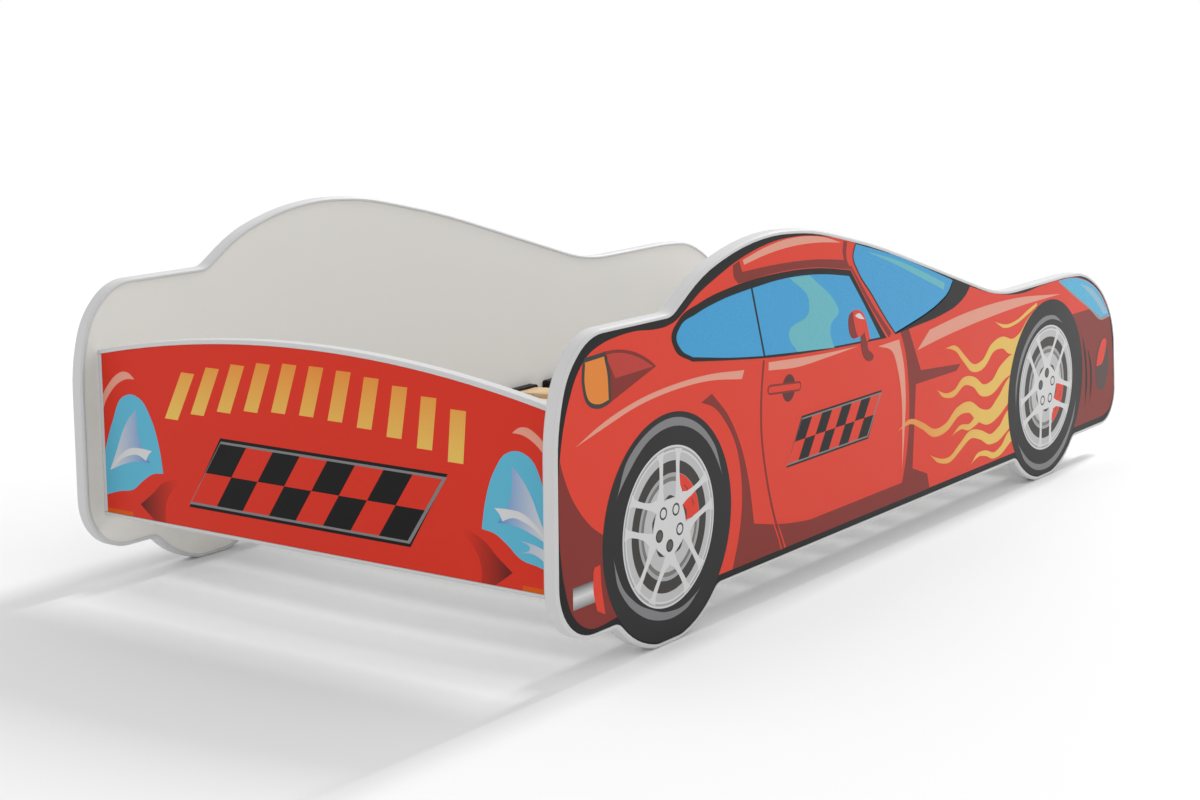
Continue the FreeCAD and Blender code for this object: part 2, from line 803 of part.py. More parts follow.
def cradle():
    """The moulded cradle of a slat end, about the middle of its foot at the side board."""
    body = new_body("slat_cradle")
    half = size("cradle_width") / 2
    foot = drawing_on(body, "YZ_Plane", "profile")
    foot.polygon([
        (0, 0), (size("cradle_foot"), 0), (size("cradle_foot"), size("cradle_floor")),
        (size("cradle_hood"), size("cradle_floor")), (size("cradle_hood"), size("cradle_height")),
        (0, size("cradle_height")),
    ])
    block = feature(body, "Pad", "block", foot.finish(), half * 2, both_ways=True)
    top = size("cradle_height").value

    def hood_corner(middle, along):
        return abs(along.y) > 1 and abs(middle.z - top) < SMALL and abs(along.x) < SMALL

    ease_edges(body, block, hood_corner, size("cradle_ease"))
    slot = drawing_on(body, "XZ_Plane", "slot", size("cradle_foot") * -1)
    wide = size("slat_width") / 2 + size("cradle_play")
    slot.box(-wide, wide, size("cradle_floor"), size("cradle_floor") + size("cradle_slot"))
    depth = size("cradle_foot") - size("cradle_wall")
    feature(body, "Pocket", "slat_slot", slot.finish(), depth, backwards=True)
    return body


# ------------------------------------------------------------------ fittings


def turned(label, profile):
    """A body turned about Z from its half profile of radius and height."""
    body = new_body(label)
    section = drawing_on(body, "XZ_Plane", "profile")
    section.polygon(profile)
    section.finish()
    made = body.newObject("PartDesign::Revolution", "turned")
    made.Profile = section.sketch
    made.ReferenceAxis = (section.sketch, ["V_Axis"])
    made.Angle = 360
    doc.recompute()
    return body


def rail_screw():
    """A countersunk wood screw with a plain shank, its head's face at Z = 0."""
    shank, head, length = size("screw_radius"), size("screw_head"), size("screw_length")
    return turned("rail_screw", [
        (0, 0), (head, 0), (shank, shank - head), (shank, -length), (0, -length),
    ])


def cam_lock():
    """A cam lock: a short drum with a cross slot, its open face at Z = 0."""
    body = new_body("cam_lock")
    drum = drawing_on(body, "XY_Plane", "drum")
    drum.circle(0, 0, size("cam_radius"))
    feature(body, "Pad", "housing", drum.finish(), size("cam_depth"), backwards=True)
    cross = drawing_on(body, "XY_Plane", "cross")
    arm, width = size("cam_radius") * 0.6, size("cam_radius") * 0.12
    cross.polygon([
        (-arm, -width), (-width, -width), (-width, -arm), (width, -arm), (width, -width),
        (arm, -width), (arm, width), (width, width), (width, arm), (-width, arm),
        (-width, width), (-arm, width),
    ])
    feature(body, "Pocket", "driver_slot", cross.finish(), size("cam_depth") / 4)
    mouth = drawing_on(body, "YZ_Plane", "mouth")
    middle = board / -2
    gap = size("bolt_radius") + size("cradle_play")
    mouth.box(-size("cam_radius") * 2, 0, middle - gap, middle + gap)
    feature(body, "Pocket", "bolt_mouth", mouth.finish(), gap * 2, both_ways=True)
    return body


def cam_bolt():
    """A connecting bolt: its thread below Z = 0 and its smooth shank above."""
    thread, shank, bite = size("bolt_thread"), size("bolt_radius"), size("bolt_bite")
    reach = size("cam_setback")
    return turned("cam_bolt", [
        (0, -bite), (thread, -bite), (thread, 0), (shank, 0), (shank, reach), (0, reach),
    ])


def dowel():
    """A beech dowel, from Z = 0 up."""
    radius, length = size("dowel_radius"), size("dowel_length")
    return turned("dowel", [(0, 0), (radius, 0), (radius, length), (0, length)])


X_AXIS = FreeCAD.Vector(1, 0, 0)
Y_AXIS = FreeCAD.Vector(0, 1, 0)
Z_AXIS = FreeCAD.Vector(0, 0, 1)


def fit_end(end, outer_x, shoulder, dowels):
    """Cam locks, connecting bolts and dowels at the four joints of one end panel."""
    middle_x = (outer_x + board / 2).value
    inner_x = (outer_x + board).value if end == "rear" else outer_x.value
    facing = X_AXIS if end == "rear" else -X_AXIS
    cams, cam_turns, bolts, bolt_turns, pegs, peg_turns = [], [], [], [], [], []
    for side in (RIGHT, LEFT):
        face = half_width.value * side
        inwards = FreeCAD.Rotation(Z_AXIS, Y_AXIS * -side)
        mouth = FreeCAD.Vector(0, side, 0)
        cam_turn = FreeCAD.Rotation(facing.cross(mouth), mouth * -1, facing, "ZYX")
        for height in joint_heights(shoulder):
            cams.append((inner_x, face - side * size("cam_setback").value, height.value))
            cam_turns.append(cam_turn)
            bolts.append((middle_x, face, height.value))
            bolt_turns.append(inwards)
        for height in dowel_heights(shoulder, dowels):
            pegs.append((middle_x, face + side * size("dowel_bite").value, height.value))
            peg_turns.append(inwards)
    group(end + "_cam_locks", masters["cam"], cams, cam_turns)
    group(end + "_cam_bolts", masters["bolt"], bolts, bolt_turns)
    group(end + "_dowels", masters["dowel"], pegs, peg_turns)


def fit_side(side_name, side):
    """Slat cradles on one rail, and the screws that hold it."""
    half_turn = FreeCAD.Rotation(Z_AXIS, 180) if side == LEFT else FreeCAD.Rotation()
    face = half_width.value * side
    spots = [(x.value, face, size("rail_top").value) for x in slat_places()]
    group(side_name + "_slat_cradles", masters["cradle"], spots, [half_turn] * len(spots))
    outwards = FreeCAD.Rotation(Z_AXIS * -1, Y_AXIS * side)
    inner = (half_width - size("rail_width")).value * side
    spots = [(x.value, inner, screw_height().value) for x in screw_places()]
    group(side_name + "_rail_screws", masters["screw"], spots, [outwards] * len(spots))


# ------------------------------------------------------------------ the bed

for side_name, side in SIDES:
    side_panel(side_name, side)
    slat_rail(side_name, side)
for end, outer_x, shoulder, dowels in ENDS:
    end_board(end, outer_x, shoulder, dowels)
    end_edging(end, outer_x, shoulder)
    end_print(end, outer_x, shoulder)
for number, x in enumerate(slat_places(), start=1):
    slat(number, x)
masters = {
    "cradle": cradle(),
    "screw": rail_screw(),
    "cam": cam_lock(),
    "bolt": cam_bolt(),
    "dowel": dowel(),
}
doc.recompute()
for side_name, side in SIDES:
    fit_side(side_name, side)
for end, outer_x, shoulder, dowels in ENDS:
    fit_end(end, outer_x, shoulder, dowels)
doc.recompute()

# ------------------------------------------------------------------ hand over

for obj in doc.Objects:
    if "Invalid" in obj.State or "Error" in obj.State:
        raise ValueError("%s failed: %s" % (obj.Name, obj.State))

os.makedirs("parts", exist_ok=True)
for node in nodes:
    shape = node.Shape
    if shape.isNull() or not shape.isValid():
        raise ValueError("%s has no valid shape" % node.Label)
    shape.exportStep("parts/%s.step" % node.Label)
    low, high = shape.BoundBox, shape.BoundBox
    print("%-20s solids %2d volume %12.0f  x %7.1f %7.1f  y %7.1f %7.1f  z %6.1f %6.1f" % (
        node.Label, len(shape.Solids), shape.Volume, low.XMin, high.XMax, low.YMin, high.YMax,
        low.ZMin, high.ZMax))
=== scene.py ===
import math

import bpy
from bpy.props import FloatProperty, FloatVectorProperty, PointerProperty
from mathutils import Matrix, Vector


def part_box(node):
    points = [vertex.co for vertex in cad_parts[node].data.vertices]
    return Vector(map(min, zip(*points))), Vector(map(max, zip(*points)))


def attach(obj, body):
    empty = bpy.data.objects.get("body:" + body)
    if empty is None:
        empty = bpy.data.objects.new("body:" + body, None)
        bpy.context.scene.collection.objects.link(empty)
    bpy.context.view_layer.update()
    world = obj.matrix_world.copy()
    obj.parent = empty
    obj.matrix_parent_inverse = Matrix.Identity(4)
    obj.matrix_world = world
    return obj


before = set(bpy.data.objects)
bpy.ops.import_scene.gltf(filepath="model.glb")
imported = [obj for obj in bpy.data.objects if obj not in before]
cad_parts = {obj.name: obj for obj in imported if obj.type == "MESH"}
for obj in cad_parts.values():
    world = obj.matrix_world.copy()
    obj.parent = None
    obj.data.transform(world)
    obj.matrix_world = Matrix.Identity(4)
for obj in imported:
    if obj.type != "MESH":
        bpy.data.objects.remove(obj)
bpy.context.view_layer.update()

bl_info = {
    "name": "Racing car bed",
    "version": (1, 0, 0),
    "blender": (4, 5, 0),
    "location": "3D View > Sidebar > Car bed",
    "description": "Finishes and printed artwork of a children's bed shaped as a racing car",
    "category": "Object",
}

MM = 0.001
SHARP = True
TINY = 1e-6

# Specular level of inks and boards and of wood, the sheen of printed glass, and how red, green
# and blue weigh in brightness.
INK_SPECULAR = 0.12
WOOD_SPECULAR = 0.2
GLASS_SHEEN = 0.28
LUMINANCE = (0.21, 0.72, 0.07)

# -------------------- sizes and colours


def tone(name, description, colour):
    """A colour property, given as red, green and blue from 0 to 255 as seen on a screen."""
    linear = [((c / 255 + 0.055) / 1.055) ** 2.4 if c > 10 else c / 3294.6 for c in colour]
    return FloatVectorProperty(name=name, description=description, default=linear,
                               subtype="COLOR", size=3, min=0, max=1)


def length(name, description, default):
    """A length property in metres."""
    return FloatProperty(name=name, description=description, default=default, unit="LENGTH")


def angle(name, description, degrees):
    """An angle property, given in degrees."""
    return FloatProperty(name=name, description=description, default=math.radians(degrees),
                         subtype="ANGLE")


class CarBedInks(bpy.types.PropertyGroup):
    """Printing inks of the panels."""

    body: tone("Body red", "Main red of the side panels", (222, 63, 44))
    end: tone("End red", "Red of the two end panels", (215, 52, 35))
    end_dark: tone("End dark", "Dark end of the crescents on the end panels", (106, 35, 30))
    strip: tone("Strip", "Orange strips in the corners of the end panels", (215, 89, 12))
    margin: tone("Margin", "White margins at the ends of the end panels", (210, 210, 210))
    shade: tone("Shade", "Dark red of bumpers, sills and ducts", (131, 46, 39))
    recess: tone("Recess", "Dark hollow behind the door handle", (93, 43, 39))
    wedge: tone("Wedge", "Middle red beside the tail lamps", (187, 62, 54))
    shine: tone("Shine", "Pale highlight on the bodywork", (226, 156, 136))
    line: tone("Line", "Black of outlines and seals", (24, 24, 24))
    tyre: tone("Tyre", "Dark grey of the tyres", (41, 41, 41))
    gloss: tone("Tyre gloss", "Grey crescents on the tyres", (129, 128, 130))
    glass: tone("Glass", "Blue of the windows", (63, 158, 210))
    glint: tone("Glint", "Reflection in the windows", (103, 182, 192))
    lamp: tone("Lamp", "Blue of the headlamps", (82, 176, 214))
    lamp_edge: tone("Lamp edge", "Grey border under the headlamp", (156, 147, 145))
    lamp_shine: tone("Lamp shine", "Pale streak in the headlamp", (143, 184, 204))
    end_lamp: tone("End lamp", "Blue of the lamps on the end panels", (94, 180, 208))
    prism: tone("Prism", "Deep blue in the lamps of the end panels", (68, 135, 198))
    orange: tone("Orange", "Tail lamps", (227, 135, 56))
    flame_root: tone("Flame root", "Flames at the wheel", (229, 189, 94))
    flame_tip: tone("Flame tip", "Flames at their tips", (227, 152, 77))
    silver: tone("Silver", "Wheel spokes and hubs", (212, 212, 212))
    silver_dim: tone("Dim silver", "Barrel of the wheels", (167, 167, 171))
    disc: tone("Disc", "Grooves of the brake discs", (122, 120, 115))
    barrel: tone("Barrel", "Inside of the wheel rims", (189, 189, 189))
    nut: tone("Nut", "Wheel nuts in the shade", (89, 89, 87))
    hollow: tone("Hollow", "Dark gaps between the spokes", (63, 61, 58))
    fog: tone("Fog lamp", "Dark brown glass of the fog lamps", (82, 62, 61))


class CarBedBoards(bpy.types.PropertyGroup):
    """Colours of the boards, edgings and slats."""

    laminate: tone("Laminate", "Inner faces of the boards", (232, 229, 223))
    edging: tone("Edging", "Edging round the boards", (210, 210, 210))
    birch: tone("Birch", "Bent slats", (228, 198, 157))
    birch_dark: tone("Birch grain", "Darker grain of the slats", (206, 170, 127))
    cradle: tone("Cradle", "Moulded slat cradles", (21, 18, 16))
    steel: tone("Steel", "Screws and bolts", (186, 186, 190))
    beech: tone("Beech", "Dowels", (188, 140, 92))
    joint: tone("Joint line", "Raw edge of the laminate beside the edging", (150, 130, 110))


class CarBedSizes(bpy.types.PropertyGroup):
    """Sizes of the printed artwork."""

    ink_step: length("Ink step", "Height of one layer of ink over the layer under it", 0.00006)
    sample: length("Sample", "Longest straight run in a curved outline", 0.004)
    rim: length("Rim", "Radius of the wheel rims", 0.094)
    tyre: length("Tyre", "Radius of the tyres", 0.1325)
    edging_round: length("Edging round", "Radius of the edging's rims", 0.0016)
    slat_round: length("Slat round", "Radius of the slats' long edges", 0.002)
    joint_line: length("Joint line", "Width of the raw edge beside the edging", 0.0018)


class CarBedStage(bpy.types.PropertyGroup):
    """Camera, main lamp, surroundings and floor."""

    yaw: angle("Yaw", "Camera heading from +Y towards +X", 54.709)
    pitch: angle("Pitch", "Camera tilt below the horizon", 9.493)
    roll: angle("Roll", "Camera roll", -0.414)
    key: FloatProperty(name="Key", description="Power of the main lamp", default=375, unit="POWER")
    key_width: length("Key width", "Width of the main lamp", 0.7)
    key_height: length("Key height", "Height of the main lamp", 2.6)
    fill: FloatProperty(name="Fill", description="Strength of the surroundings", default=0.835)
    clear: length("Clear floor", "Distance from the bed at which the floor starts to fade", 1.6)
    bare: length("Bare floor", "Distance from the bed at which the floor is plain white", 3.4)


# -------------------- outlines


def smooth(points, closed=True):
    """Points along a smooth outline through the given ones; a third item marks a sharp corner.
    Points are in millimetres across and up."""
    step = bpy.context.scene.car_bed_sizes.sample / MM
    count = len(points)
    spots = [Vector(p[:2]) for p in points]
    sharp = [len(p) > 2 for p in points]
    if not closed:
        sharp[0] = sharp[-1] = True
    heading = []
    for i in range(count):
        before, here, after = spots[i - 1], spots[i], spots[(i + 1) % count]
        back, ahead = here - before, after - here
        mean = back / max(back.length, TINY) ** 2 + ahead / max(ahead.length, TINY) ** 2
        heading.append(mean.normalized())
    line = []
    for i in range(count if closed else count - 1):
        j = (i + 1) % count
        start, end = spots[i], spots[j]
        span = (end - start).length
        if sharp[i] and sharp[j]:
            line.append(start)
            continue
        first = start + (end - start) / 3 if sharp[i] else start + heading[i] * span / 3
        last = end - (end - start) / 3 if sharp[j] else end - heading[j] * span / 3
        pieces = max(3, math.ceil(span / step))
        for k in range(pieces):
            u = k / pieces
            v = 1 - u
            line.append(start * v ** 3 + first * 3 * v * v * u
                        + last * 3 * v * u * u + end * u ** 3)
    if not closed:
        line.append(spots[-1])
    return line


def stroke(points, widths):
    """Outline of a brush stroke through the points, with a width at each of them."""
    line = smooth(points, closed=False)
    reach = [0]
    for a, b in zip(line, line[1:]):
        reach.append(reach[-1] + (b - a).length)
    marks = []
    at = 0
    for spot in [Vector(p[:2]) for p in points]:
        at = min(range(at, len(line)), key=lambda i: (line[i] - spot).length)
        marks.append(reach[at])
    left, right = [], []
    for i, here in enumerate(line):
        ahead = line[min(i + 1, len(line) - 1)] - line[max(i - 1, 0)]
        side = Vector((-ahead.y, ahead.x)).normalized()
        half = level_between(reach[i], marks, widths) / 2
        left.append(here + side * half)
        right.append(here - side * half)
    return left + right[::-1]


def level_between(where, marks, values):
    """The value at a place, between the values at the marks, easing in and out."""
    for k in range(len(marks) - 1):
        if where <= marks[k + 1] or k == len(marks) - 2:
            u = (where - marks[k]) / max(marks[k + 1] - marks[k], TINY)
            u = min(max(u, 0), 1)
            return values[k] + (values[k + 1] - values[k]) * u * u * (3 - 2 * u)
    return values[0]


def grow(outline, amount):
    """A sampled outline moved outwards."""
    area = sum(a.x * b.y - b.x * a.y for a, b in zip(outline, outline[1:] + outline[:1]))
    turn = 1 if area > 0 else -1
    grown = []
    for i, here in enumerate(outline):
        ahead = (outline[(i + 1) % len(outline)] - outline[i - 1]).normalized()
        grown.append(here + Vector((ahead.y, -ahead.x)) * turn * amount)
    return grown


def ring(x, z, radius_x, radius_z=None, sides=96, start=0.0, end=math.tau):
    """A circle or an ellipse, or an arc of one."""
    radius_z = radius_z or radius_x
    whole = end - start >= math.tau - TINY
    count = sides if whole else sides + 1
    angles = [start + (end - start) * i / sides for i in range(count)]
    return [Vector((x + radius_x * math.cos(a), z + radius_z * math.sin(a))) for a in angles]


def sector(x, z, inner, outer, start, end):
    """Part of a ring between two angles in degrees."""
    start, end = math.radians(start), math.radians(end)
    arc = {"sides": 24, "start": start, "end": end}
    return ring(x, z, outer, **arc) + ring(x, z, inner, **arc)[::-1]


def capsule(x0, z0, x1, z1, radius):
    """A bar with round ends."""
    angle = math.atan2(z1 - z0, x1 - x0)
    ends = []
    for x, z, start in ((x1, z1, angle - math.pi / 2), (x0, z0, angle + math.pi / 2)):
        ends += ring(x, z, radius, sides=12, start=start, end=start + math.pi)
    return ends


def strip(outer, inner):
    """Short fields that fill the band between two outlines with as many points each."""
    count = len(outer)
    return [[outer[i], outer[(i + 1) % count], inner[(i + 1) % count], inner[i]]
            for i in range(count)]


def film_outline(name):
    """Outline of a side film, in millimetres, in order round its front."""
    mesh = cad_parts[name].data
    spots = [vertex.co for vertex in mesh.vertices]
    front = max(abs(spot.y) for spot in spots)
    on_front = [abs(abs(spot.y) - front) < 10 * TINY for spot in spots]
    after = {}
    for polygon in mesh.polygons:
        if abs(polygon.normal.y) > 0.5:
            continue
        for a, b in polygon.edge_keys:
            if on_front[a] and on_front[b]:
                after.setdefault(a, set()).add(b)
                after.setdefault(b, set()).add(a)
    loop = [next(iter(after))]
    while onward := [i for i in after[loop[-1]] if i not in loop]:
        loop.append(onward[0])
    return [Vector((spots[i].x, spots[i].z)) / MM for i in loop]


def box(x0, x1, z0, z1):
    return [Vector(p) for p in ((x0, z0), (x1, z0), (x1, z1), (x0, z1))]


# -------------------- faces that carry artwork


class Face:
    """A flat face to print on, with artwork given across and up in millimetres."""

    def __init__(self, name, node, across, outwards):
        self.name = name
        self.across = Vector(across)
        self.outwards = Vector(outwards)
        low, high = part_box(node)
        self.film = max(low.dot(self.outwards), high.dot(self.outwards))
        self.slot = "red_print"

    def place(self, spot, height):
        """A point of the artwork in the bed's frame, so high over the film."""
        return (self.across * spot.x + Vector((0, 0, spot.y))) * MM + self.outwards * (
            self.film + height)


def faces():
    return {
        "right": Face("right", "right_side_print", (1, 0, 0), (0, -1, 0)),
        "left": Face("left", "left_side_print", (1, 0, 0), (0, 1, 0)),
        "rear": Face("rear", "rear_end_print", (0, -1, 0), (-1, 0, 0)),
        "nose": Face("nose", "nose_end_print", (0, 1, 0), (1, 0, 0)),
    }


def added(name, data):
    """A new object in the scene."""
    made = bpy.data.objects.new(name, data)
    bpy.context.scene.collection.objects.link(made)
    return made


def print_on(face, name, finish, shapes):
    """Prints shapes on a face as one piece. Each shape is a layer number and an outline."""
    step = bpy.context.scene.car_bed_sizes.ink_step
    points, polygons = [], []
    for layer, outline in shapes:
        count, first = len(outline), len(points)
        points += [face.place(spot, step * layer) for spot in outline]
        points += [face.place(spot, 0) for spot in outline]
        front = list(range(first, first + count))
        polygons += [front, [i + count for i in reversed(front)]]
        for i in range(count):
            j = (i + 1) % count
            polygons.append([first + j, first + i, first + i + count, first + j + count])
    mesh = bpy.data.meshes.new(face.name + "_" + name)
    mesh.from_pydata(points, [], polygons)
    mesh.update()
    turn_outwards(mesh, face, shapes)
    piece = added(mesh.name, mesh)
    mesh.materials.append(finish)
    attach(piece, "root")
    return piece


def turn_outwards(mesh, face, shapes):
    """Turns each layer's polygons so that its front looks away from the board."""
    start = 0
    for _, outline in shapes:
        count = len(outline) + 2
        if mesh.polygons[start].normal.dot(face.outwards) < 0:
            for polygon in list(mesh.polygons)[start:start + count]:
                polygon.flip()
        start += count
    mesh.update()


# -------------------- materials


def node(tree, kind, presets=(), **settings):
    """A new shader node with its settings and the constants on its sockets."""
    made = tree.nodes.new("ShaderNode" + kind)
    for name, value in settings.items():
        setattr(made, name, value)
    for name, value in dict(presets).items():
        made.inputs[name].default_value = value
    return made


def wire(tree, *wires):
    """Joins nodes. Each wire is a node and its output, then a node and its input."""
    for source, output, target, entry in wires:
        tree.links.new(source.outputs[output], target.inputs[entry])


def effect_group(name, *inputs):
    """A node group with the given inputs that puts out a colour, a roughness and a normal."""
    group = bpy.data.node_groups.new(name, "ShaderNodeTree")
    add = group.interface.new_socket
    for title, kind, default in inputs:
        made = add(name=title, in_out="INPUT", socket_type="NodeSocket" + kind)
        made.default_value = default
    for title, kind in (("Colour", "Color"), ("Roughness", "Float"), ("Normal", "Vector")):
        add(name=title, in_out="OUTPUT", socket_type="NodeSocket" + kind)
    return group, group.nodes.new("NodeGroupInput"), group.nodes.new("NodeGroupOutput")


def film_group():
    """Printed film: faint ink mottle, uneven sheen and a very fine orange-peel surface."""
    group, given, out = effect_group(
        "printed_film", ("Colour", "Color", (0.8, 0.8, 0.8, 1)), ("Mottle", "Float", 0.03),
        ("Sheen", "Float", 0.36), ("Peel", "Float", 0.12))
    where = node(group, "TexCoord")
    cloud = node(group, "TexNoise", {"Scale": 7, "Detail": 5})
    grain = node(group, "TexNoise", {"Scale": 900, "Detail": 2})
    both = node(group, "Math", operation="ADD")
    swing = node(group, "Math", {1: 1}, operation="SUBTRACT")
    scaled = node(group, "Math", {2: 1}, operation="MULTIPLY_ADD")
    tint = node(group, "VectorMath", operation="SCALE")
    rough = node(group, "Math", {1: 0.18}, operation="MULTIPLY_ADD")
    bump = node(group, "Bump", {"Distance": 0.00008})
    wire(group, (where, "Object", cloud, "Vector"), (where, "Object", grain, "Vector"),
         (cloud, "Fac", both, 0), (grain, "Fac", both, 1), (both, 0, swing, 0),
         (swing, 0, scaled, 0), (given, "Mottle", scaled, 1), (given, "Colour", tint, 0),
         (scaled, 0, tint, "Scale"), (tint, 0, out, "Colour"), (swing, 0, rough, 0),
         (given, "Sheen", rough, 2), (rough, 0, out, "Roughness"),
         (given, "Peel", bump, "Strength"), (grain, "Fac", bump, "Height"),
         (bump, "Normal", out, "Normal"))
    return group


def wood_group():
    """Wood: long growth lines along one axis, and pores that also roughen the surface."""
    group, given, out = effect_group(
        "wood_grain", ("Light", "Color", (0.8, 0.6, 0.4, 1)), ("Dark", "Color", (0.6, 0.4, 0.2, 1)),
        ("Stretch", "Vector", (60, 2, 60)))
    where = node(group, "TexCoord")
    stretched = node(group, "VectorMath", operation="MULTIPLY")
    rings = node(group, "TexNoise", {"Scale": 1.6, "Detail": 6, "Distortion": 0.7})
    pores = node(group, "TexNoise", {"Scale": 16, "Detail": 3})
    spread = node(group, "MapRange", {"From Min": 0.35, "From Max": 0.7})
    blend = node(group, "Mix", data_type="RGBA")
    rough = node(group, "MapRange", {"To Min": 0.42, "To Max": 0.62})
    bump = node(group, "Bump", {"Distance": 0.0003, "Strength": 0.3})
    wire(group, (where, "Object", stretched, 0), (given, "Stretch", stretched, 1),
         (stretched, 0, rings, "Vector"), (stretched, 0, pores, "Vector"),
         (rings, "Fac", spread, "Value"), (spread, 0, blend, "Factor"),
         (given, "Light", blend, "A"), (given, "Dark", blend, "B"),
         (blend, "Result", out, "Colour"), (pores, "Fac", rough, "Value"),
         (rough, 0, out, "Roughness"), (pores, "Fac", bump, "Height"),
         (bump, "Normal", out, "Normal"))
    return group


def material(name):
    """A new material with its Principled BSDF."""
    made = bpy.data.materials.new(name)
    made.use_nodes = True
    return made, made.node_tree, made.node_tree.nodes["Principled BSDF"]


def with_alpha(colour):
    return (*colour, 1)


def finished(name, group, colour, shine, values):
    """A material fed from an effect group, and the group's node. Light that bounces off it onto
    others is neutral."""
    made, tree, shader = material(name)
    effect = node(tree, "Group", values, node_tree=group)
    path = node(tree, "LightPath")
    grey = sum(weight * part for weight, part in zip(LUMINANCE, colour))
    bounce = node(tree, "Mix", {"B": (grey, grey, grey, 1)}, data_type="RGBA")
    wire(tree, (path, "Is Diffuse Ray", bounce, "Factor"), (effect, "Colour", bounce, "A"),
         (bounce, "Result", shader, "Base Color"), (effect, "Roughness", shader, "Roughness"),
         (effect, "Normal", shader, "Normal"))
    shader.inputs["Specular IOR Level"].default_value = shine
    return made, effect


def film(name, colour, shine, values):
    """A finish with the printed film's fine unevenness."""
    group = bpy.data.node_groups.get("printed_film") or film_group()
    return finished(name, group, colour, shine, {"Colour": with_alpha(colour), **values})


def soften(made, radius):
    """Rounds the look of a finish's edges."""
    tree = made.node_tree
    bevel = node(tree, "Bevel", {"Radius": radius}, samples=4)
    tree.links.new(bevel.outputs["Normal"], tree.nodes["Principled BSDF"].inputs["Normal"])
    return made


def ink(name, colour=None, second=None, axis="X", span=(0, 1), **values):
    """An ink on the film, all of one colour or fading to a second one along an axis. Colours are
    names among the inks' properties; the first is the ink's own name unless one is given."""
    found = bpy.data.materials.get("ink_" + name)
    if found:
        return found
    inks = bpy.context.scene.car_bed_inks
    colour = getattr(inks, colour or name)
    made, effect = film("ink_" + name, colour, INK_SPECULAR, values)
    if second:
        tree = made.node_tree
        where = node(tree, "TexCoord")
        split = node(tree, "SeparateXYZ")
        ramp = node(tree, "MapRange", {"From Min": span[0] * MM, "From Max": span[1] * MM})
        ends = {"A": with_alpha(colour), "B": with_alpha(getattr(inks, second))}
        fade = node(tree, "Mix", ends, data_type="RGBA")
        wire(tree, (where, "Object", split, 0), (split, axis, ramp, "Value"),
             (ramp, 0, fade, "Factor"), (fade, "Result", effect, "Colour"))
    return made


def wood(name, light, dark, stretch):
    """A wooden finish with growth lines along the least stretched axis."""
    group = bpy.data.node_groups.get("wood_grain") or wood_group()
    values = {"Light": with_alpha(light), "Dark": with_alpha(dark), "Stretch": stretch}
    return finished(name, group, light, WOOD_SPECULAR, values)[0]


def plain(name, colour, metal=0.0, shine=INK_SPECULAR, **values):
    """A moulded, laminated or metal finish with the film's fine unevenness."""
    made = film(name, colour, shine, values)[0]
    made.node_tree.nodes["Principled BSDF"].inputs["Metallic"].default_value = metal
    return made


def dress(names, made):
    """Gives CAD nodes a finish."""
    for name in names:
        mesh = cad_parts[name].data
        mesh.materials.clear()
        mesh.materials.append(made)


def nodes_named(*endings):
    return [name for name in sorted(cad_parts) if name.endswith(endings)]


# -------------------- the car's artwork

# Each wheel's centre, the angle of its first pair of spokes and the angle its nuts are lit from.
WHEELS = {"rear": (-534, 138, 90, 66), "front": (489, 138, -90, -60)}

# The angles between which each wheel's brake caliper shows.
CALIPERS = {"rear": (2, 70), "front": (-67, 2)}

# Each wheel's two crescents of gloss: three radii in millimetres, start, end and widths.
CRESCENTS = {
    "rear": [((118, 121, 120), 154, 18, (0, 12, 10, 10, 9, 7, 0)),
             ((113, 102, 109), 186, 308, (0, 6, 9, 11, 9, 6, 0))],
    "front": [((107, 105, 106), 190, 58, (0, 5, 8, 8, 8, 6, 0)),
              ((118, 121, 118), 215, 345, (0, 7, 9, 10, 9, 6, 0))],
}

# Layers and radii, as shares of the rim's radius, of the discs that make up a wheel.
WHEEL_DISCS = {
    "bright": ("silver", [(4, 1.0), (5, 0.945)]),
    "lip": ("silver_dim", [(4.6, 0.975), (6.5, 0.665)]),
    "barrel": ("barrel", [(5.4, 0.92), (7.3, 0.56)]),
    "gap": ("hollow", [(6.2, 0.815)]),
    "groove": ("disc", [(7, 0.615)]),
}

# A spoke's path along and across its pair, and its widths, all as shares of the rim's radius.
SPOKE = [(0.26, 0.21), (0.38, 0.2), (0.48, 0.185), (0.66, 0.18), (0.84, 0.185), (0.94, 0.2)]
SPOKE_WIDTHS = (0.24, 0.15, 0.095, 0.072, 0.085, 0.16)
SLIT = [(0.352, -0.12), (0.372, 0), (0.352, 0.12)]
SLIT_WIDTHS = (0, 0.045, 0)
SPOKE_PAIRS = 5

# Radii as shares of the rim's: the hub, the caliper, the marks on it, and the nuts' place, seats
# and own size. The marks' starts and length are in degrees.
HUB = 0.35
CALIPER = 0.66
MARK = (0.55, 0.565)
MARK_STARTS = (15, 42)
MARK_SPAN = 11
NUT_SPOT = 0.235
NUT_SEAT = 0.08
NUT = 0.055

BODY = [
    (-746, 200), (-744.5, 245), (-737, 285), (-726, 315), (-712, 340), (-693, 358), (-665, 368),
    (-635, 372), (-600, 373), (-565, 370), (-540, 370), (-520, 374), (-503, 382, SHARP),
    (-470, 400), (-435, 413), (-398, 425), (-350, 436), (-300, 442), (-250, 442), (-200, 437.5),
    (-150, 429), (-104, 418, SHARP), (170, 339, SHARP), (228, 322), (300, 304), (340, 297),
    (400, 292), (460, 295), (520, 296), (560, 295.5), (600, 290.5), (645, 277), (685, 255),
    (712, 229), (727, 200), (738, 160), (743, 125), (746, 105), (744, 84), (733, 67), (712, 59.5),
    (680, 58, SHARP), (-640, 57, SHARP), (-700, 60), (-722, 78), (-736, 110), (-744, 150),
]

REAR_BUMPER = [
    (-744.5, 255, SHARP), (-738, 238), (-726, 214), (-708, 190), (-688, 171), (-655, 150, SHARP),
    (-630, 57, SHARP), *BODY[-4:], BODY[0],
]

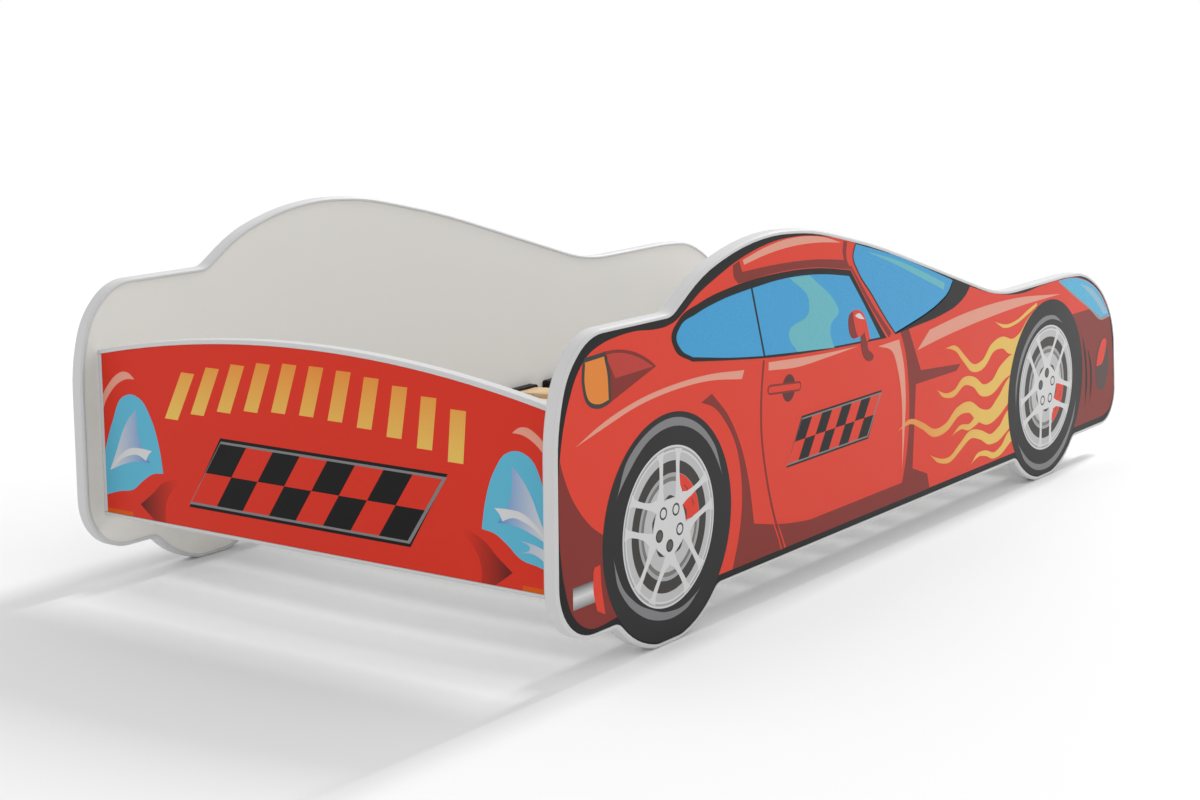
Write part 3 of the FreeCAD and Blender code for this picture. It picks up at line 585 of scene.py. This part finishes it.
SIDE_DUCT = [
    (-467, 271, SHARP), (-444, 278, SHARP), (-408, 246), (-380, 205), (-362, 160), (-352, 118),
    (-349, 103, SHARP), (-300, 92), (-250, 84), (-214, 80, SHARP), (31, 80, SHARP), (41, 108),
    (48, 145), (49, 185), (44, 225), (34, 262), (19, 289, SHARP), (43, 289, SHARP),
    (81, 226, SHARP), (200, 217, SHARP), (188, 209, SHARP), (67, 209, SHARP), (64, 150),
    (61, 94, SHARP), (104, 79, SHARP), (112, 57, SHARP), (-398, 57, SHARP), (-385, 90),
    (-377, 130), (-379, 168), (-390, 205), (-413, 238), (-440, 261),
]

NOSE_BUMPER = [
    (560, 237, SHARP), (640, 237, SHARP), (662, 227), (684, 216, SHARP), (721, 216, SHARP),
    (730, 192), *BODY[BODY.index((738, 160)):-5], (590, 58, SHARP), (600, 120, SHARP),
]

ROOF_RAIL = [
    (-399, 423, SHARP), (-396, 408), (-386, 400, SHARP), (-300, 403), (-200, 398), (-150, 391),
    (-116, 386, SHARP), (-128, 402), (-127, 423, SHARP), (-136, 424, SHARP), (-138, 411),
    (-134, 400, SHARP), (-200, 408), (-300, 413), (-378, 413, SHARP), (-385, 427, SHARP),
]

WINDOW_SEAL = [
    (-529, 357), (-522, 341), (-486, 322, SHARP), (-400, 311), (-300, 300), (-200, 292.5),
    (-100, 287.5), (-18, 284, SHARP), (-60, 325), (-117, 385, SHARP), (-200, 397), (-300, 402),
    (-400, 398), (-470, 388), (-514, 374),
]

QUARTER_WINDOW = [
    (-519, 355), (-510, 340), (-485, 327, SHARP), (-400, 314), (-329, 305.5, SHARP),
    (-359, 391, SHARP), (-420, 386), (-478, 376), (-511, 366),
]

DOOR_WINDOW = [
    (-355, 391, SHARP), (-300, 393.5), (-250, 393), (-180, 387), (-121, 378, SHARP), (-85, 341),
    (-36, 287.5, SHARP), (-100, 290), (-200, 295), (-325, 305.5, SHARP),
]

WINDOW_GLINT = [
    (-268, 393, SHARP), (-220, 390.5, SHARP), (-150, 342), (-147, 338), (-167, 320), (-168, 314),
    (-157, 291, SHARP), (-249, 299, SHARP), (-270, 323), (-221, 348), (-221, 354),
]

COWL = [
    (6, 285.5, SHARP), (70, 289), (140, 294), (190, 303), (213, 313), (225, 323, SHARP),
    (172, 340, SHARP), (60, 330, SHARP),
]

WINDSCREEN = [
    (-104, 417, SHARP), (-50, 404), (20, 386), (90, 364), (171, 338, SHARP), (158, 324),
    (130, 312), (90, 302), (50, 295), (6, 288, SHARP), (-22, 312), (-60, 348), (-98, 383),
    (-110, 402),
]

TAIL_LAMP = [
    (-697, 353, SHARP), (-661, 354.5, SHARP), (-655, 336), (-652, 304, SHARP), (-672, 302),
    (-690, 309), (-698, 328),
]

HEADLAMP = [
    (523, 295, SHARP), (560, 294.5), (600, 289.5), (645, 276), (684, 254), (708, 231),
    (720, 218, SHARP), (686, 218, SHARP), (650, 236), (590, 264),
]

MIRROR_HEAD = [
    (-119, 328), (-101, 332), (-84, 326), (-73, 312, SHARP), (-78, 301), (-93, 296), (-112, 297),
    (-121, 311),
]

# Flame tongues: the path of each from its root at the wheel to its tip, and the widths along it.
TONGUES = [
    ([(452, 250), (424, 240), (396, 222), (364, 218), (334, 228), (302, 225), (272, 206),
      (240, 205), (212, 222), (184, 241), (150, 246)], [30, 26, 26, 22, 17, 14, 13, 11, 9, 7, 0]),
    ([(410, 190), (372, 192), (336, 184), (304, 168), (272, 168), (244, 184), (212, 190),
      (182, 178), (152, 180), (128, 192)], [34, 30, 26, 20, 17, 14, 12, 9, 6, 0]),
    ([(400, 165), (362, 156), (330, 138), (296, 126), (262, 134), (232, 150), (196, 150),
      (160, 134), (124, 132), (88, 148), (52, 160), (14, 152)],
     [38, 34, 28, 22, 19, 16, 14, 12, 11, 9, 7, 0]),
    ([(400, 120), (362, 112), (330, 96), (300, 92), (268, 104), (236, 110), (204, 98), (172, 86),
      (140, 90), (110, 104)], [34, 28, 20, 15, 13, 12, 10, 8, 6, 0]),
    ([(396, 92), (364, 84), (338, 70), (312, 66), (286, 74), (262, 76), (238, 66)],
     [24, 18, 12, 9, 8, 6, 0]),
    ([(262, 132), (232, 122), (204, 126), (176, 118)], [16, 9, 6, 0]),
    ([(448, 269), (420, 262), (380, 252), (340, 251), (304, 263)], [5, 6, 5, 5, 0]),
]


# Fields along and up a chequered band, and its slant in across per up.
BAND_COLUMNS = 8
BAND_ROWS = 2
BAND_SLANT = 0.667


def both_sides():
    every = faces()
    return [every["right"], every["left"]]


def print_all(face, *prints):
    """Prints pieces on a face. Each is a name, an ink and shapes."""
    for name, finish, shapes in prints:
        print_on(face, name, finish, shapes)


def print_sides(*prints):
    """Prints pieces on both side panels."""
    for face in both_sides():
        print_all(face, *prints)


def outlines(layer, *shapes):
    """Smooth outlines of one layer."""
    return [(layer, smooth(shape)) for shape in shapes]


class CARBED_OT_bodywork(bpy.types.Operator):
    """Prints the painted bodywork, its shades, seams and highlights"""

    bl_idname = "carbed.bodywork"
    bl_label = "Bodywork"

    def execute(self, context):
        dress(["right_side_print", "left_side_print"], ink("line"))
        door_edge = [(-328, 300), (-333, 262), (-333, 215), (-322, 160), (-303, 105), (-279, 57)]
        seams = [
            (3, stroke(door_edge, [4] * len(door_edge))),
            (3, capsule(-313, 261.5, -245, 255.5, 6.2)),
            (3, stroke([(-117, 390), (-62, 334), (-8, 286)], [3, 6, 8])),
        ]
        shades = [REAR_BUMPER, SIDE_DUCT, NOSE_BUMPER, ROOF_RAIL]
        wedge = [(-663, 359, SHARP), (-640, 358), (-598, 348.5), (-572, 336), (-560, 328, SHARP),
                 (-650, 301, SHARP)]
        wedge_top = [(-659, 355, SHARP), (-640, 354.5), (-600, 345), (-578, 335),
                     (-566, 328.5, SHARP), (-640, 326.5, SHARP)]
        shine = [
            [(-715, 263, SHARP), (-668, 279.5), (-600, 294.5), (-520, 301.5), (-450, 301.5),
             (-373, 295, SHARP), (-378, 285, SHARP), (-450, 294), (-520, 295), (-600, 288),
             (-662, 275)],
            [(-377, 427, SHARP), (-330, 436), (-280, 441), (-230, 440), (-180, 433),
             (-143, 423, SHARP), (-200, 429), (-260, 431), (-320, 428), (-374, 421, SHARP)],
            [(-317, 296, SHARP), (-317, 286, SHARP), (-250, 280), (-180, 281), (-96, 284, SHARP),
             (-200, 288)],
            [(-40, 276, SHARP), (17, 277, SHARP), (31, 242), (38, 195), (36, 150), (31, 100, SHARP),
             (30, 150), (26, 200), (15, 236), (0, 262)],
            [(70, 255, SHARP), (105, 278, SHARP), (200, 286), (300, 289), (400, 286), (480, 279),
             (532, 274, SHARP), (400, 274), (250, 269), (130, 261)],
        ]
        bright_seams = [
            (3, stroke([(-303, 93), (-292, 74), (-284, 57)], [2.4] * 3)),
            (3, stroke([(-294, 91), (-284, 74), (-275, 57)], [2.4] * 3)),
            (4, capsule(-313, 261.5, -245, 255.5, 3.8)),
        ]
        ducts = [
            (3, stroke([(619, 196), (631, 165), (638, 122), (634, 80)], [2, 6, 7, 0])),
            (3, stroke([(641, 172), (652, 148), (656, 118), (652, 84)], [2, 6, 6, 0])),
        ]
        print_sides(
            ("body_red", ink("body"), outlines(1, BODY) + bright_seams),
            ("body_shade", ink("shade"), outlines(2, *shades) + seams + outlines(2, wedge)),
            ("body_wedge", ink("wedge"), outlines(3, wedge_top)),
            ("body_shine", ink("shine"), outlines(3, *shine)),
            ("handle_recess", ink("recess"), [(2.5, ring(-269, 257, 15.5, 17, sides=40))]),
            ("bumper_ducts", ink("line"), ducts),
        )
        return {"FINISHED"}


class CARBED_OT_glass(bpy.types.Operator):
    """Prints the windows, their seals and reflections, and the door mirror"""

    bl_idname = "carbed.glass"
    bl_label = "Windows and mirror"

    def execute(self, context):
        seals = outlines(4, WINDOW_SEAL, COWL) + [(4, grow(smooth(WINDSCREEN), 2))]
        panes = [QUARTER_WINDOW, DOOR_WINDOW, WINDSCREEN]
        streak = [(-80, 405.5, SHARP), (0, 386), (70, 364), (147, 337, SHARP), (144, 328, SHARP),
                  (70, 355), (0, 380)]
        stalk = [(-90, 298, SHARP), (-86, 280), (-79, 267), (-64, 260), (-53, 264), (-60, 271),
                 (-68, 276), (-70, 290), (-73, 312, SHARP)]
        arm = [(-79, 300, SHARP), (-73, 311, SHARP), (-63, 289, SHARP), (-73, 287, SHARP)]
        cheek = [(-119, 328), (-110, 331, SHARP), (-107, 318), (-102, 306), (-96, 296, SHARP),
                 (-112, 297), (-121, 311)]
        glare = [(-105, 325, SHARP), (-95, 327), (-79, 317, SHARP), (-94, 320)]
        print_sides(
            ("window_seals", ink("line"), seals),
            ("window_glass", ink("glass", Sheen=GLASS_SHEEN), outlines(5, *panes)),
            ("window_glints", ink("glint", Sheen=GLASS_SHEEN), outlines(6, WINDOW_GLINT, streak)),
            ("mirror_red", ink("body"), outlines(7, MIRROR_HEAD) + outlines(8, arm)),
            ("mirror_shade", ink("shade"), outlines(6.6, stalk) + outlines(8, cheek)),
            ("mirror_glare", ink("glare", "silver"), outlines(8, glare)),
        )
        return {"FINISHED"}


class CARBED_OT_lamps(bpy.types.Operator):
    """Prints the lamps, the exhaust and the bumper's details"""

    bl_idname = "carbed.lamps"
    bl_label = "Lamps and exhaust"

    def execute(self, context):
        tab = [(-684, 118, SHARP), (-682, 123, SHARP), (-671, 124, SHARP), (-669, 100),
               (-662, 66, SHARP), (-677, 73, SHARP), (-684, 96)]
        streak = [(604, 281, SHARP), (640, 271), (680, 249), (713, 222, SHARP), (696, 222, SHARP),
                  (665, 246)]
        leaf = [(675, 142, SHARP), (682, 164), (699, 182), (709, 181), (708, 160), (697, 144)]
        edge = stroke([(524, 294), (590, 263), (650, 235), (686, 216.5), (721, 216.5)],
                      [2, 4, 4, 4, 3])
        tail_lamp = smooth(TAIL_LAMP)
        exhaust = []
        for part, low, high, dark in (("upper", 97, 109, 111), ("lower", 84, 97, 79)):
            shine = ink("exhaust_" + part, "silver", "hollow", "Z", (97, dark))
            exhaust.append(("exhaust_" + part, shine, [(3, box(-722, -681, low, high))]))
        print_sides(
            ("tail_lamp_rim", ink("shade_line", "hollow"), [(3, grow(tail_lamp, 4.2))]),
            ("tail_lamp", ink("orange"), [(4, grow(tail_lamp, -0.8))]),
            ("headlamp", ink("lamp", Sheen=GLASS_SHEEN), outlines(4, HEADLAMP)),
            ("headlamp_edge", ink("lamp_edge"), [(3.5, edge)]),
            ("headlamp_shine", ink("lamp_shine"), outlines(5, streak)),
            ("fog_lamp", ink("fog"), [(3, ring(697, 142, 25, 42))]),
            ("fog_lamp_leaf", ink("body"), outlines(4, leaf, tab)),
            *exhaust,
        )
        return {"FINISHED"}


def placed(x, z, angle, points):
    """Points given along and across a spoke, in the frame of the panel."""
    turn = Matrix.Rotation(math.radians(angle), 2)
    return [tuple(turn @ Vector(p) + Vector((x, z))) for p in points]


def spread_on_wheel(x, z, rim, angle, path, widths):
    """A stroke along a path given in shares of the rim's radius, at an angle on a wheel."""
    spots = [(rim * along, rim * across) for along, across in path]
    return stroke(placed(x, z, angle, spots), [rim * width for width in widths])


def crescent(x, z, radii, start, end, widths):
    """A tapered arc of gloss on a tyre, through three radii in millimetres."""
    spots = []
    last = len(widths) - 1
    for k in range(len(widths)):
        angle = math.radians(start + (end - start) * k / last)
        radius = level_between(k / last, (0, 0.5, 1), radii)
        spots.append((x + radius * math.cos(angle), z + radius * math.sin(angle)))
    return stroke(spots, widths)


class CARBED_OT_wheels(bpy.types.Operator):
    """Prints the four wheels"""

    bl_idname = "carbed.wheels"
    bl_label = "Wheels"

    def execute(self, context):
        for face in both_sides():
            for name in WHEELS:
                self.print_wheel(face, name, context.scene.car_bed_sizes)
        return {"FINISHED"}

    def print_wheel(self, face, name, sizes):
        """Tyre, rim, caliper, spokes and nuts of one wheel, from the back to the front."""
        x, z, top, lit = WHEELS[name]
        rim, tyre = sizes.rim / MM, sizes.tyre / MM
        turns = [top + 360 / SPOKE_PAIRS * k for k in range(SPOKE_PAIRS)]

        def printed(part, finish, shapes):
            print_on(face, name + "_wheel_" + part, finish, shapes)

        printed("tyre", ink("tyre"), [(3, ring(x, z, tyre, sides=120))])
        arcs = [crescent(x, z, *arc) for arc in CRESCENTS[name]]
        printed("gloss", ink("gloss"), [(4, arc) for arc in arcs])
        for part, (colour, discs) in WHEEL_DISCS.items():
            printed(part, ink("wheel_" + part, colour),
                    [(layer, ring(x, z, rim * share)) for layer, share in discs])
        start, end = CALIPERS[name]
        printed("caliper", ink("body"),
                [(8.1, sector(x, z, rim * HUB, rim * CALIPER, start, end))])
        low, high = (rim * share for share in MARK)
        marks = [(8.2, sector(x, z, low, high, start + at, start + at + MARK_SPAN))
                 for at in MARK_STARTS]
        slits = [(8.4, spread_on_wheel(x, z, rim, turn, SLIT, SLIT_WIDTHS)) for turn in turns]
        printed("slits", ink("wheel_gap"), marks + slits)
        pairs = []
        for turn in turns:
            for side in (-1, 1):
                path = [(along, side * across) for along, across in SPOKE]
                layer = 8.5 + 0.03 * len(pairs)
                pairs.append((layer, spread_on_wheel(x, z, rim, turn, path, SPOKE_WIDTHS)))
        printed("spokes", ink("wheel_bright"), pairs + [(8.85, ring(x, z, rim * HUB))])
        seats, cups = [], {True: [], False: []}
        for turn in turns:
            spot = placed(x, z, turn + 180, [(rim * NUT_SPOT, 0)])[0]
            seats.append((9, ring(*spot, rim * NUT_SEAT, sides=32)))
            bright = math.cos(math.radians(turn + 180 - lit)) > 0
            cups[bright].append((9.3, ring(*spot, rim * NUT, sides=32)))
        printed("nut_seats", ink("hollow"), seats)
        printed("nuts", ink("nuts", "silver"), cups[True])
        printed("nuts_in_shade", ink("shaded_nuts", "nut"), cups[False])


class CARBED_OT_flames(bpy.types.Operator):
    """Prints hot-rod flames behind the front wheels"""

    bl_idname = "carbed.flames"
    bl_label = "Flames"

    def execute(self, context):
        fade = ink("flame", "flame_tip", "flame_root", "X", (80, 270))
        shapes = [(2.1 + 0.1 * k, stroke(*tongue)) for k, tongue in enumerate(TONGUES)]
        print_sides(("flames", fade, shapes))
        return {"FINISHED"}


def chequers(x0, x1, z0, z1, odd):
    """Every other field of a slanted chequered band."""
    fields = []
    width, height = (x1 - x0) / BAND_COLUMNS, (z1 - z0) / BAND_ROWS
    for row in range(BAND_ROWS):
        for column in range(BAND_COLUMNS):
            if (row + column) % 2 != odd:
                continue
            low, high = z0 + row * height, z0 + (row + 1) * height
            left = x0 + column * width
            fields.append([Vector((left + BAND_SLANT * (z - z0) + step, z)) for step, z in
                           ((0, low), (width, low), (width, high), (0, high))])
    return fields


def print_band(face, name, layer, corners, border, fields, colour):
    """Prints a slanted chequered band in a dark frame."""
    outline = [Vector(corner) for corner in corners]
    print_on(face, name + "_frame", ink("line"), [(layer, grow(outline, border))])
    print_on(face, name + "_ground", ink("gloss"), [(layer + 1, outline)])
    for part, title, odd in (("_fields", colour, 0), ("_dark", "line", 1)):
        print_on(face, name + part, ink(title),
                 [(layer + 2, field) for field in chequers(*fields, odd)])


class CARBED_OT_door_band(bpy.types.Operator):
    """Prints a chequered band on the doors"""

    bl_idname = "carbed.door_band"
    bl_label = "Door band"

    def execute(self, context):
        corners = ((-272, 160), (-66, 160), (-30, 214), (-236, 214))
        for face in both_sides():
            print_band(face, "door_band", 3, corners, 2.5, (-270, -68, 162, 212), "body")
        return {"FINISHED"}


# -------------------- the end panels' artwork


END_LAMP = [
    (248, 158, SHARP), (253, 188), (266, 225), (283, 247), (298, 251.5), (314, 247), (334, 214),
    (347, 182), (355, 150, SHARP), (355, 117, SHARP), (326, 126), (302, 131), (283, 145),
    (266, 155),
]

END_PRISM = [
    (291, 234, SHARP), (303, 223), (317, 203), (328, 179), (342, 151, SHARP), (321, 160),
    (297, 167), (270, 168, SHARP), (281, 182), (289, 200), (291, 218),
]

END_LOW_PRISM = [
    (301, 152, SHARP), (319, 150), (343, 143, SHARP), (343, 122, SHARP), (328, 136), (316, 139.5),
    (302, 138, SHARP), (314.5, 145),
]

END_SWEEP = [
    (342, 151, SHARP), (323, 172), (303, 183.5), (285, 185), (266, 184, SHARP), (273, 178),
    (277, 170.5, SHARP), (291, 176), (311, 172),
]

END_CRESCENT = [
    (213, 155, SHARP), (233, 152), (252, 144), (267, 131), (290, 114, SHARP), (278, 105),
    (266, 96.5, SHARP), (246, 96.5, SHARP), (247, 109), (244, 123), (236, 136), (224, 147),
]

END_ARC = [
    (292, 271, SHARP), (301, 277.5), (311, 279), (325, 273), (339, 260), (349, 247),
    (355, 232, SHARP), (353, 212, SHARP), (348, 232), (336, 250), (321, 263.5), (306, 270),
]

END_STRIP = [(304, 96.5, SHARP), (304, 102, SHARP), (355, 102, SHARP), (355, 96.5, SHARP)]

# The last places across and down that have ink on the end panels, in millimetres, and how much
# lower the nose panel's artwork is drawn.
END_LIMIT = 353.6
END_LOW = 96.5
NOSE_SHARE = 0.6

# From where to where across the inks of the prisms and the crescents fade.
PRISM_SPAN = (266, 340)
CRESCENT_SPAN = (284, 222)

# The white margin at both ends of the end panels: from where to where across, the height of its
# outer corner on each panel, and how much higher its inner corner is.
MARGIN = (349.5, 354.7)
MARGIN_TOP = {"rear": 296.6, "nose": 189.6}
MARGIN_RISE = 1.0

# The fan of stripes on the rear panel, in millimetres: how many, their pitch, the outermost one's
# place, the height of the middle one's centre and how much lower the outermost is, the lean of the
# middle one and how it turns across the fan, and half their width and height.
FAN_STRIPES = 11
FAN_PITCH = 43
FAN_REACH = 215
FAN_TOP = 286
FAN_DROP = 28
FAN_LEAN = 9
FAN_TURN = 0.03
FAN_HALF = 11
FAN_RISE = 30


class CARBED_OT_end_art(bpy.types.Operator):
    """Prints the end panels"""

    bl_idname = "carbed.end_art"
    bl_label = "End panels"

    def execute(self, context):
        every = faces()
        dress(["rear_end_print", "nose_end_print"], ink("end"))
        self.print_end(every["rear"], 1.0)
        self.print_end(every["nose"], NOSE_SHARE)
        self.print_bands(every["rear"])
        return {"FINISHED"}

    def print_end(self, face, share):
        """Lamps, crescents and highlights at both sides of an end panel."""
        for side, turn in (("a", -1), ("b", 1)):
            def art(layer, outline):
                spots = []
                for spot in smooth(outline):
                    across = turn * min(spot.x, END_LIMIT)
                    spots.append(Vector((across, END_LOW + (spot.y - END_LOW) * share)))
                return [(layer, spots)]
            towards = face.across.y * turn
            lamp_span = [towards * across for across in PRISM_SPAN]
            prism = ink("prism_%+d" % towards, "prism", "silver", "Y", lamp_span)
            prisms = art(2, END_PRISM) + (art(2, END_LOW_PRISM) if turn > 0 else [])
            span = [towards * across for across in CRESCENT_SPAN]
            dark = ink("crescent_%+d" % towards, "end_dark", "end", "Y", span)
            top = MARGIN_TOP[face.name]
            margin = [Vector((turn * across, z)) for across, z in (
                (MARGIN[0], END_LOW), (MARGIN[1], END_LOW), (MARGIN[1], top),
                (MARGIN[0], top + MARGIN_RISE))]
            print_all(
                face,
                ("end_lamp_" + side, ink("end_lamp"), art(1, END_LAMP)),
                ("end_prism_" + side, prism, prisms),
                ("end_sweep_" + side, ink("lamp_sweep", "silver"), art(3, END_SWEEP)),
                ("end_crescent_" + side, dark, art(1, END_CRESCENT)),
                ("end_arc_" + side, ink("shine"), art(1, END_ARC)),
                ("end_strip_" + side, ink("strip"), art(1, END_STRIP)),
                ("end_margin_" + side, ink("margin"), [(4, margin)]),
            )

    def print_bands(self, face):
        """A fan of slanted stripes over a chequered band."""
        stripes = []
        for k in range(FAN_STRIPES):
            across = FAN_PITCH * k - FAN_REACH
            arch = FAN_TOP - (across / FAN_REACH) ** 2 * FAN_DROP
            lean = FAN_LEAN - across * FAN_TURN
            stripes.append((1, [Vector((across + dx, arch + dz)) for dx, dz in (
                (-lean - FAN_HALF, -FAN_RISE), (-lean + FAN_HALF, -FAN_RISE),
                (lean + FAN_HALF, FAN_RISE), (lean - FAN_HALF, FAN_RISE))]))
        fade = ink("stripe", "orange", "flame_root", "Z", (325, 235))
        print_on(face, "end_stripes", fade, stripes)
        corners = ((-204, 126), (144, 126), (200, 210), (-148, 210))
        print_band(face, "end_band", 1, corners, 4, (-201, 141, 129, 207), "end")


# -------------------- boards, slats and fittings


class CARBED_OT_boards(bpy.types.Operator):
    """Finishes the boards and their edgings"""

    bl_idname = "carbed.boards"
    bl_label = "Boards and edgings"

    def execute(self, context):
        colours = context.scene.car_bed_boards
        dress(nodes_named("_board"), plain("laminate", colours.laminate, Sheen=0.42, Mottle=0.02))
        sizes = context.scene.car_bed_sizes
        edging = plain("edging", colours.edging, Sheen=0.4, Mottle=0.015)
        dress(nodes_named("_edging"), soften(edging, sizes.edging_round))
        joint = plain("joint_line", colours.joint, Sheen=0.6)
        for name, inwards in (("right", 1), ("left", -1)):
            face = Face(name + "_inner", name + "_side_board", (1, 0, 0), (0, inwards, 0))
            face.slot = "inner_laminate"
            outline = film_outline(name + "_side_print")
            inner = grow(outline, -sizes.joint_line / MM)
            print_on(face, "joint_line", joint, [(1, part) for part in strip(outline, inner)])
        return {"FINISHED"}


class CARBED_OT_slats(bpy.types.Operator):
    """Finishes the slats, the rails, their cradles and the fittings"""

    bl_idname = "carbed.slats"
    bl_label = "Slats and fittings"

    def execute(self, context):
        colours = context.scene.car_bed_boards
        birch = wood("birch", colours.birch, colours.birch_dark, (70, 2.5, 70))
        pine = wood("pine", colours.birch, colours.birch_dark, (2, 55, 55))
        soften(birch, context.scene.car_bed_sizes.slat_round)
        dress([name for name in sorted(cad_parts) if name.startswith("slat_")], birch)
        dress(nodes_named("_rail"), pine)
        dress(nodes_named("_dowels"), wood("beech", colours.beech, colours.birch_dark, (40, 3, 40)))
        cradle = plain("cradle", colours.cradle, shine=0.2, Sheen=0.5, Peel=0.5)
        dress(nodes_named("_cradles"), cradle)
        for name, sheen, endings in (("zinc", 0.32, ("_screws", "_bolts")),
                                     ("cast_zinc", 0.45, ("_locks",))):
            metal = plain(name, colours.steel, metal=1, shine=0.5, Sheen=sheen)
            dress(nodes_named(*endings), metal)
        return {"FINISHED"}


# -------------------- stage

CAMERA_SPOT = (-2.65312, -1.77624, 0.77935)
CAMERA_SENSOR = 36
CAMERA_LENS = 68.74
CAMERA_SHIFT = -0.05
CAMERA_FAR = 100
KEY_SPOT = (5.98, -0.2, 4.9)
KEY_TARGET = (-0.3, 0, 0.1)
FLOOR_REACH = 30
FLOOR_GREY = 0.885


def floor_material(clear, bare):
    """Pale matt floor that keeps the bed's shadow and fades to white away from the bed."""
    made, tree, shader = material("floor")
    shader.inputs["Base Color"].default_value = (FLOOR_GREY, FLOOR_GREY, FLOOR_GREY, 1)
    shader.inputs["Roughness"].default_value = 0.9
    shader.inputs["Specular IOR Level"].default_value = 0.1
    glow = node(tree, "Emission")
    where = node(tree, "TexCoord")
    away = node(tree, "VectorMath", operation="LENGTH")
    reach = {"From Min": clear, "From Max": bare}
    fade = node(tree, "MapRange", reach, interpolation_type="SMOOTHSTEP")
    path = node(tree, "LightPath")
    seen = node(tree, "Math", operation="MULTIPLY")
    wire(tree, (where, "Object", away, 0), (away, "Value", fade, "Value"),
         (path, "Is Camera Ray", seen, 0), (fade, "Result", seen, 1))
    mix_into(tree, "Material Output", (seen, 0), shader, glow)
    return made


def mix_into(tree, output, factor, first, second):
    """Joins two shaders by a factor, given as a node and its output, and feeds a surface."""
    mix = node(tree, "MixShader")
    wire(tree, (*factor, mix, "Fac"), (first, 0, mix, 1), (second, 0, mix, 2),
         (mix, 0, tree.nodes[output], "Surface"))


def lamp(name, power, width, height, spot, target):
    """An oblong soft lamp aimed at a point."""
    data = bpy.data.lights.new(name, "AREA")
    data.shape = "RECTANGLE"
    data.energy, data.size, data.size_y = power, width, height
    made = added(name, data)
    made.location = spot
    made.rotation_mode = "QUATERNION"
    made.rotation_quaternion = (Vector(target) - Vector(spot)).to_track_quat("-Z", "Y")
    return made


class CARBED_OT_stage(bpy.types.Operator):
    """Makes the floor, the white surroundings, the main lamp and the camera"""

    bl_idname = "carbed.stage"
    bl_label = "Stage"

    def execute(self, context):
        scene = context.scene
        stage = scene.car_bed_stage
        mesh = bpy.data.meshes.new("floor")
        corners = [(x * FLOOR_REACH, y * FLOOR_REACH, 0) for x, y in
                   ((-1, -1), (1, -1), (1, 1), (-1, 1))]
        mesh.from_pydata(corners, [], [(0, 1, 2, 3)])
        floor = added("floor", mesh)
        mesh.materials.append(floor_material(stage.clear, stage.bare))
        self.surroundings(scene, stage)
        lamp("key_lamp", stage.key, stage.key_width, stage.key_height, KEY_SPOT, KEY_TARGET)
        data = bpy.data.cameras.new("camera")
        data.sensor_width, data.lens = CAMERA_SENSOR, CAMERA_LENS
        data.shift_y, data.clip_end = CAMERA_SHIFT, CAMERA_FAR
        camera = added("camera", data)
        turn = (Matrix.Rotation(-stage.yaw, 4, "Z")
                @ Matrix.Rotation(math.pi / 2 - stage.pitch, 4, "X")
                @ Matrix.Rotation(stage.roll, 4, "Z"))
        camera.matrix_world = Matrix.Translation(CAMERA_SPOT) @ turn
        scene.camera = camera
        scene.view_settings.view_transform = "Standard"
        return {"FINISHED"}

    def surroundings(self, scene, stage):
        """White surroundings: gentle light on the bed, plain white in view."""
        world = bpy.data.worlds.new("surroundings")
        world.use_nodes = True
        scene.world = world
        tree = world.node_tree
        light = tree.nodes["Background"]
        light.inputs["Color"].default_value = (1, 1, 1, 1)
        light.inputs["Strength"].default_value = stage.fill
        white = node(tree, "Background", {"Color": (1, 1, 1, 1)})
        path = node(tree, "LightPath")
        mix_into(tree, "World Output", (path, "Is Camera Ray"), light, white)


# -------------------- add-on

OPERATORS = (
    CARBED_OT_boards,
    CARBED_OT_slats,
    CARBED_OT_bodywork,
    CARBED_OT_glass,
    CARBED_OT_lamps,
    CARBED_OT_wheels,
    CARBED_OT_flames,
    CARBED_OT_door_band,
    CARBED_OT_end_art,
    CARBED_OT_stage,
)


class CARBED_PT_panel(bpy.types.Panel):
    """Lists the bed's parts in the sidebar"""

    bl_label = "Racing car bed"
    bl_idname = "CARBED_PT_panel"
    bl_space_type = "VIEW_3D"
    bl_region_type = "UI"
    bl_category = "Car bed"

    def draw(self, context):
        for operator in OPERATORS:
            self.layout.operator(operator.bl_idname)


GROUPS = {
    "car_bed_inks": CarBedInks,
    "car_bed_boards": CarBedBoards,
    "car_bed_sizes": CarBedSizes,
    "car_bed_stage": CarBedStage,
}


def register():
    for cls in (*GROUPS.values(), *OPERATORS, CARBED_PT_panel):
        bpy.utils.register_class(cls)
    for name, cls in GROUPS.items():
        setattr(bpy.types.Scene, name, PointerProperty(type=cls))


def unregister():
    for name in GROUPS:
        delattr(bpy.types.Scene, name)
    for cls in reversed((*GROUPS.values(), *OPERATORS, CARBED_PT_panel)):
        bpy.utils.unregister_class(cls)


def main():
    register()
    for operator in OPERATORS:
        family, name = operator.bl_idname.split(".")
        getattr(getattr(bpy.ops, family), name)()


if __name__ == "__main__":
    main()
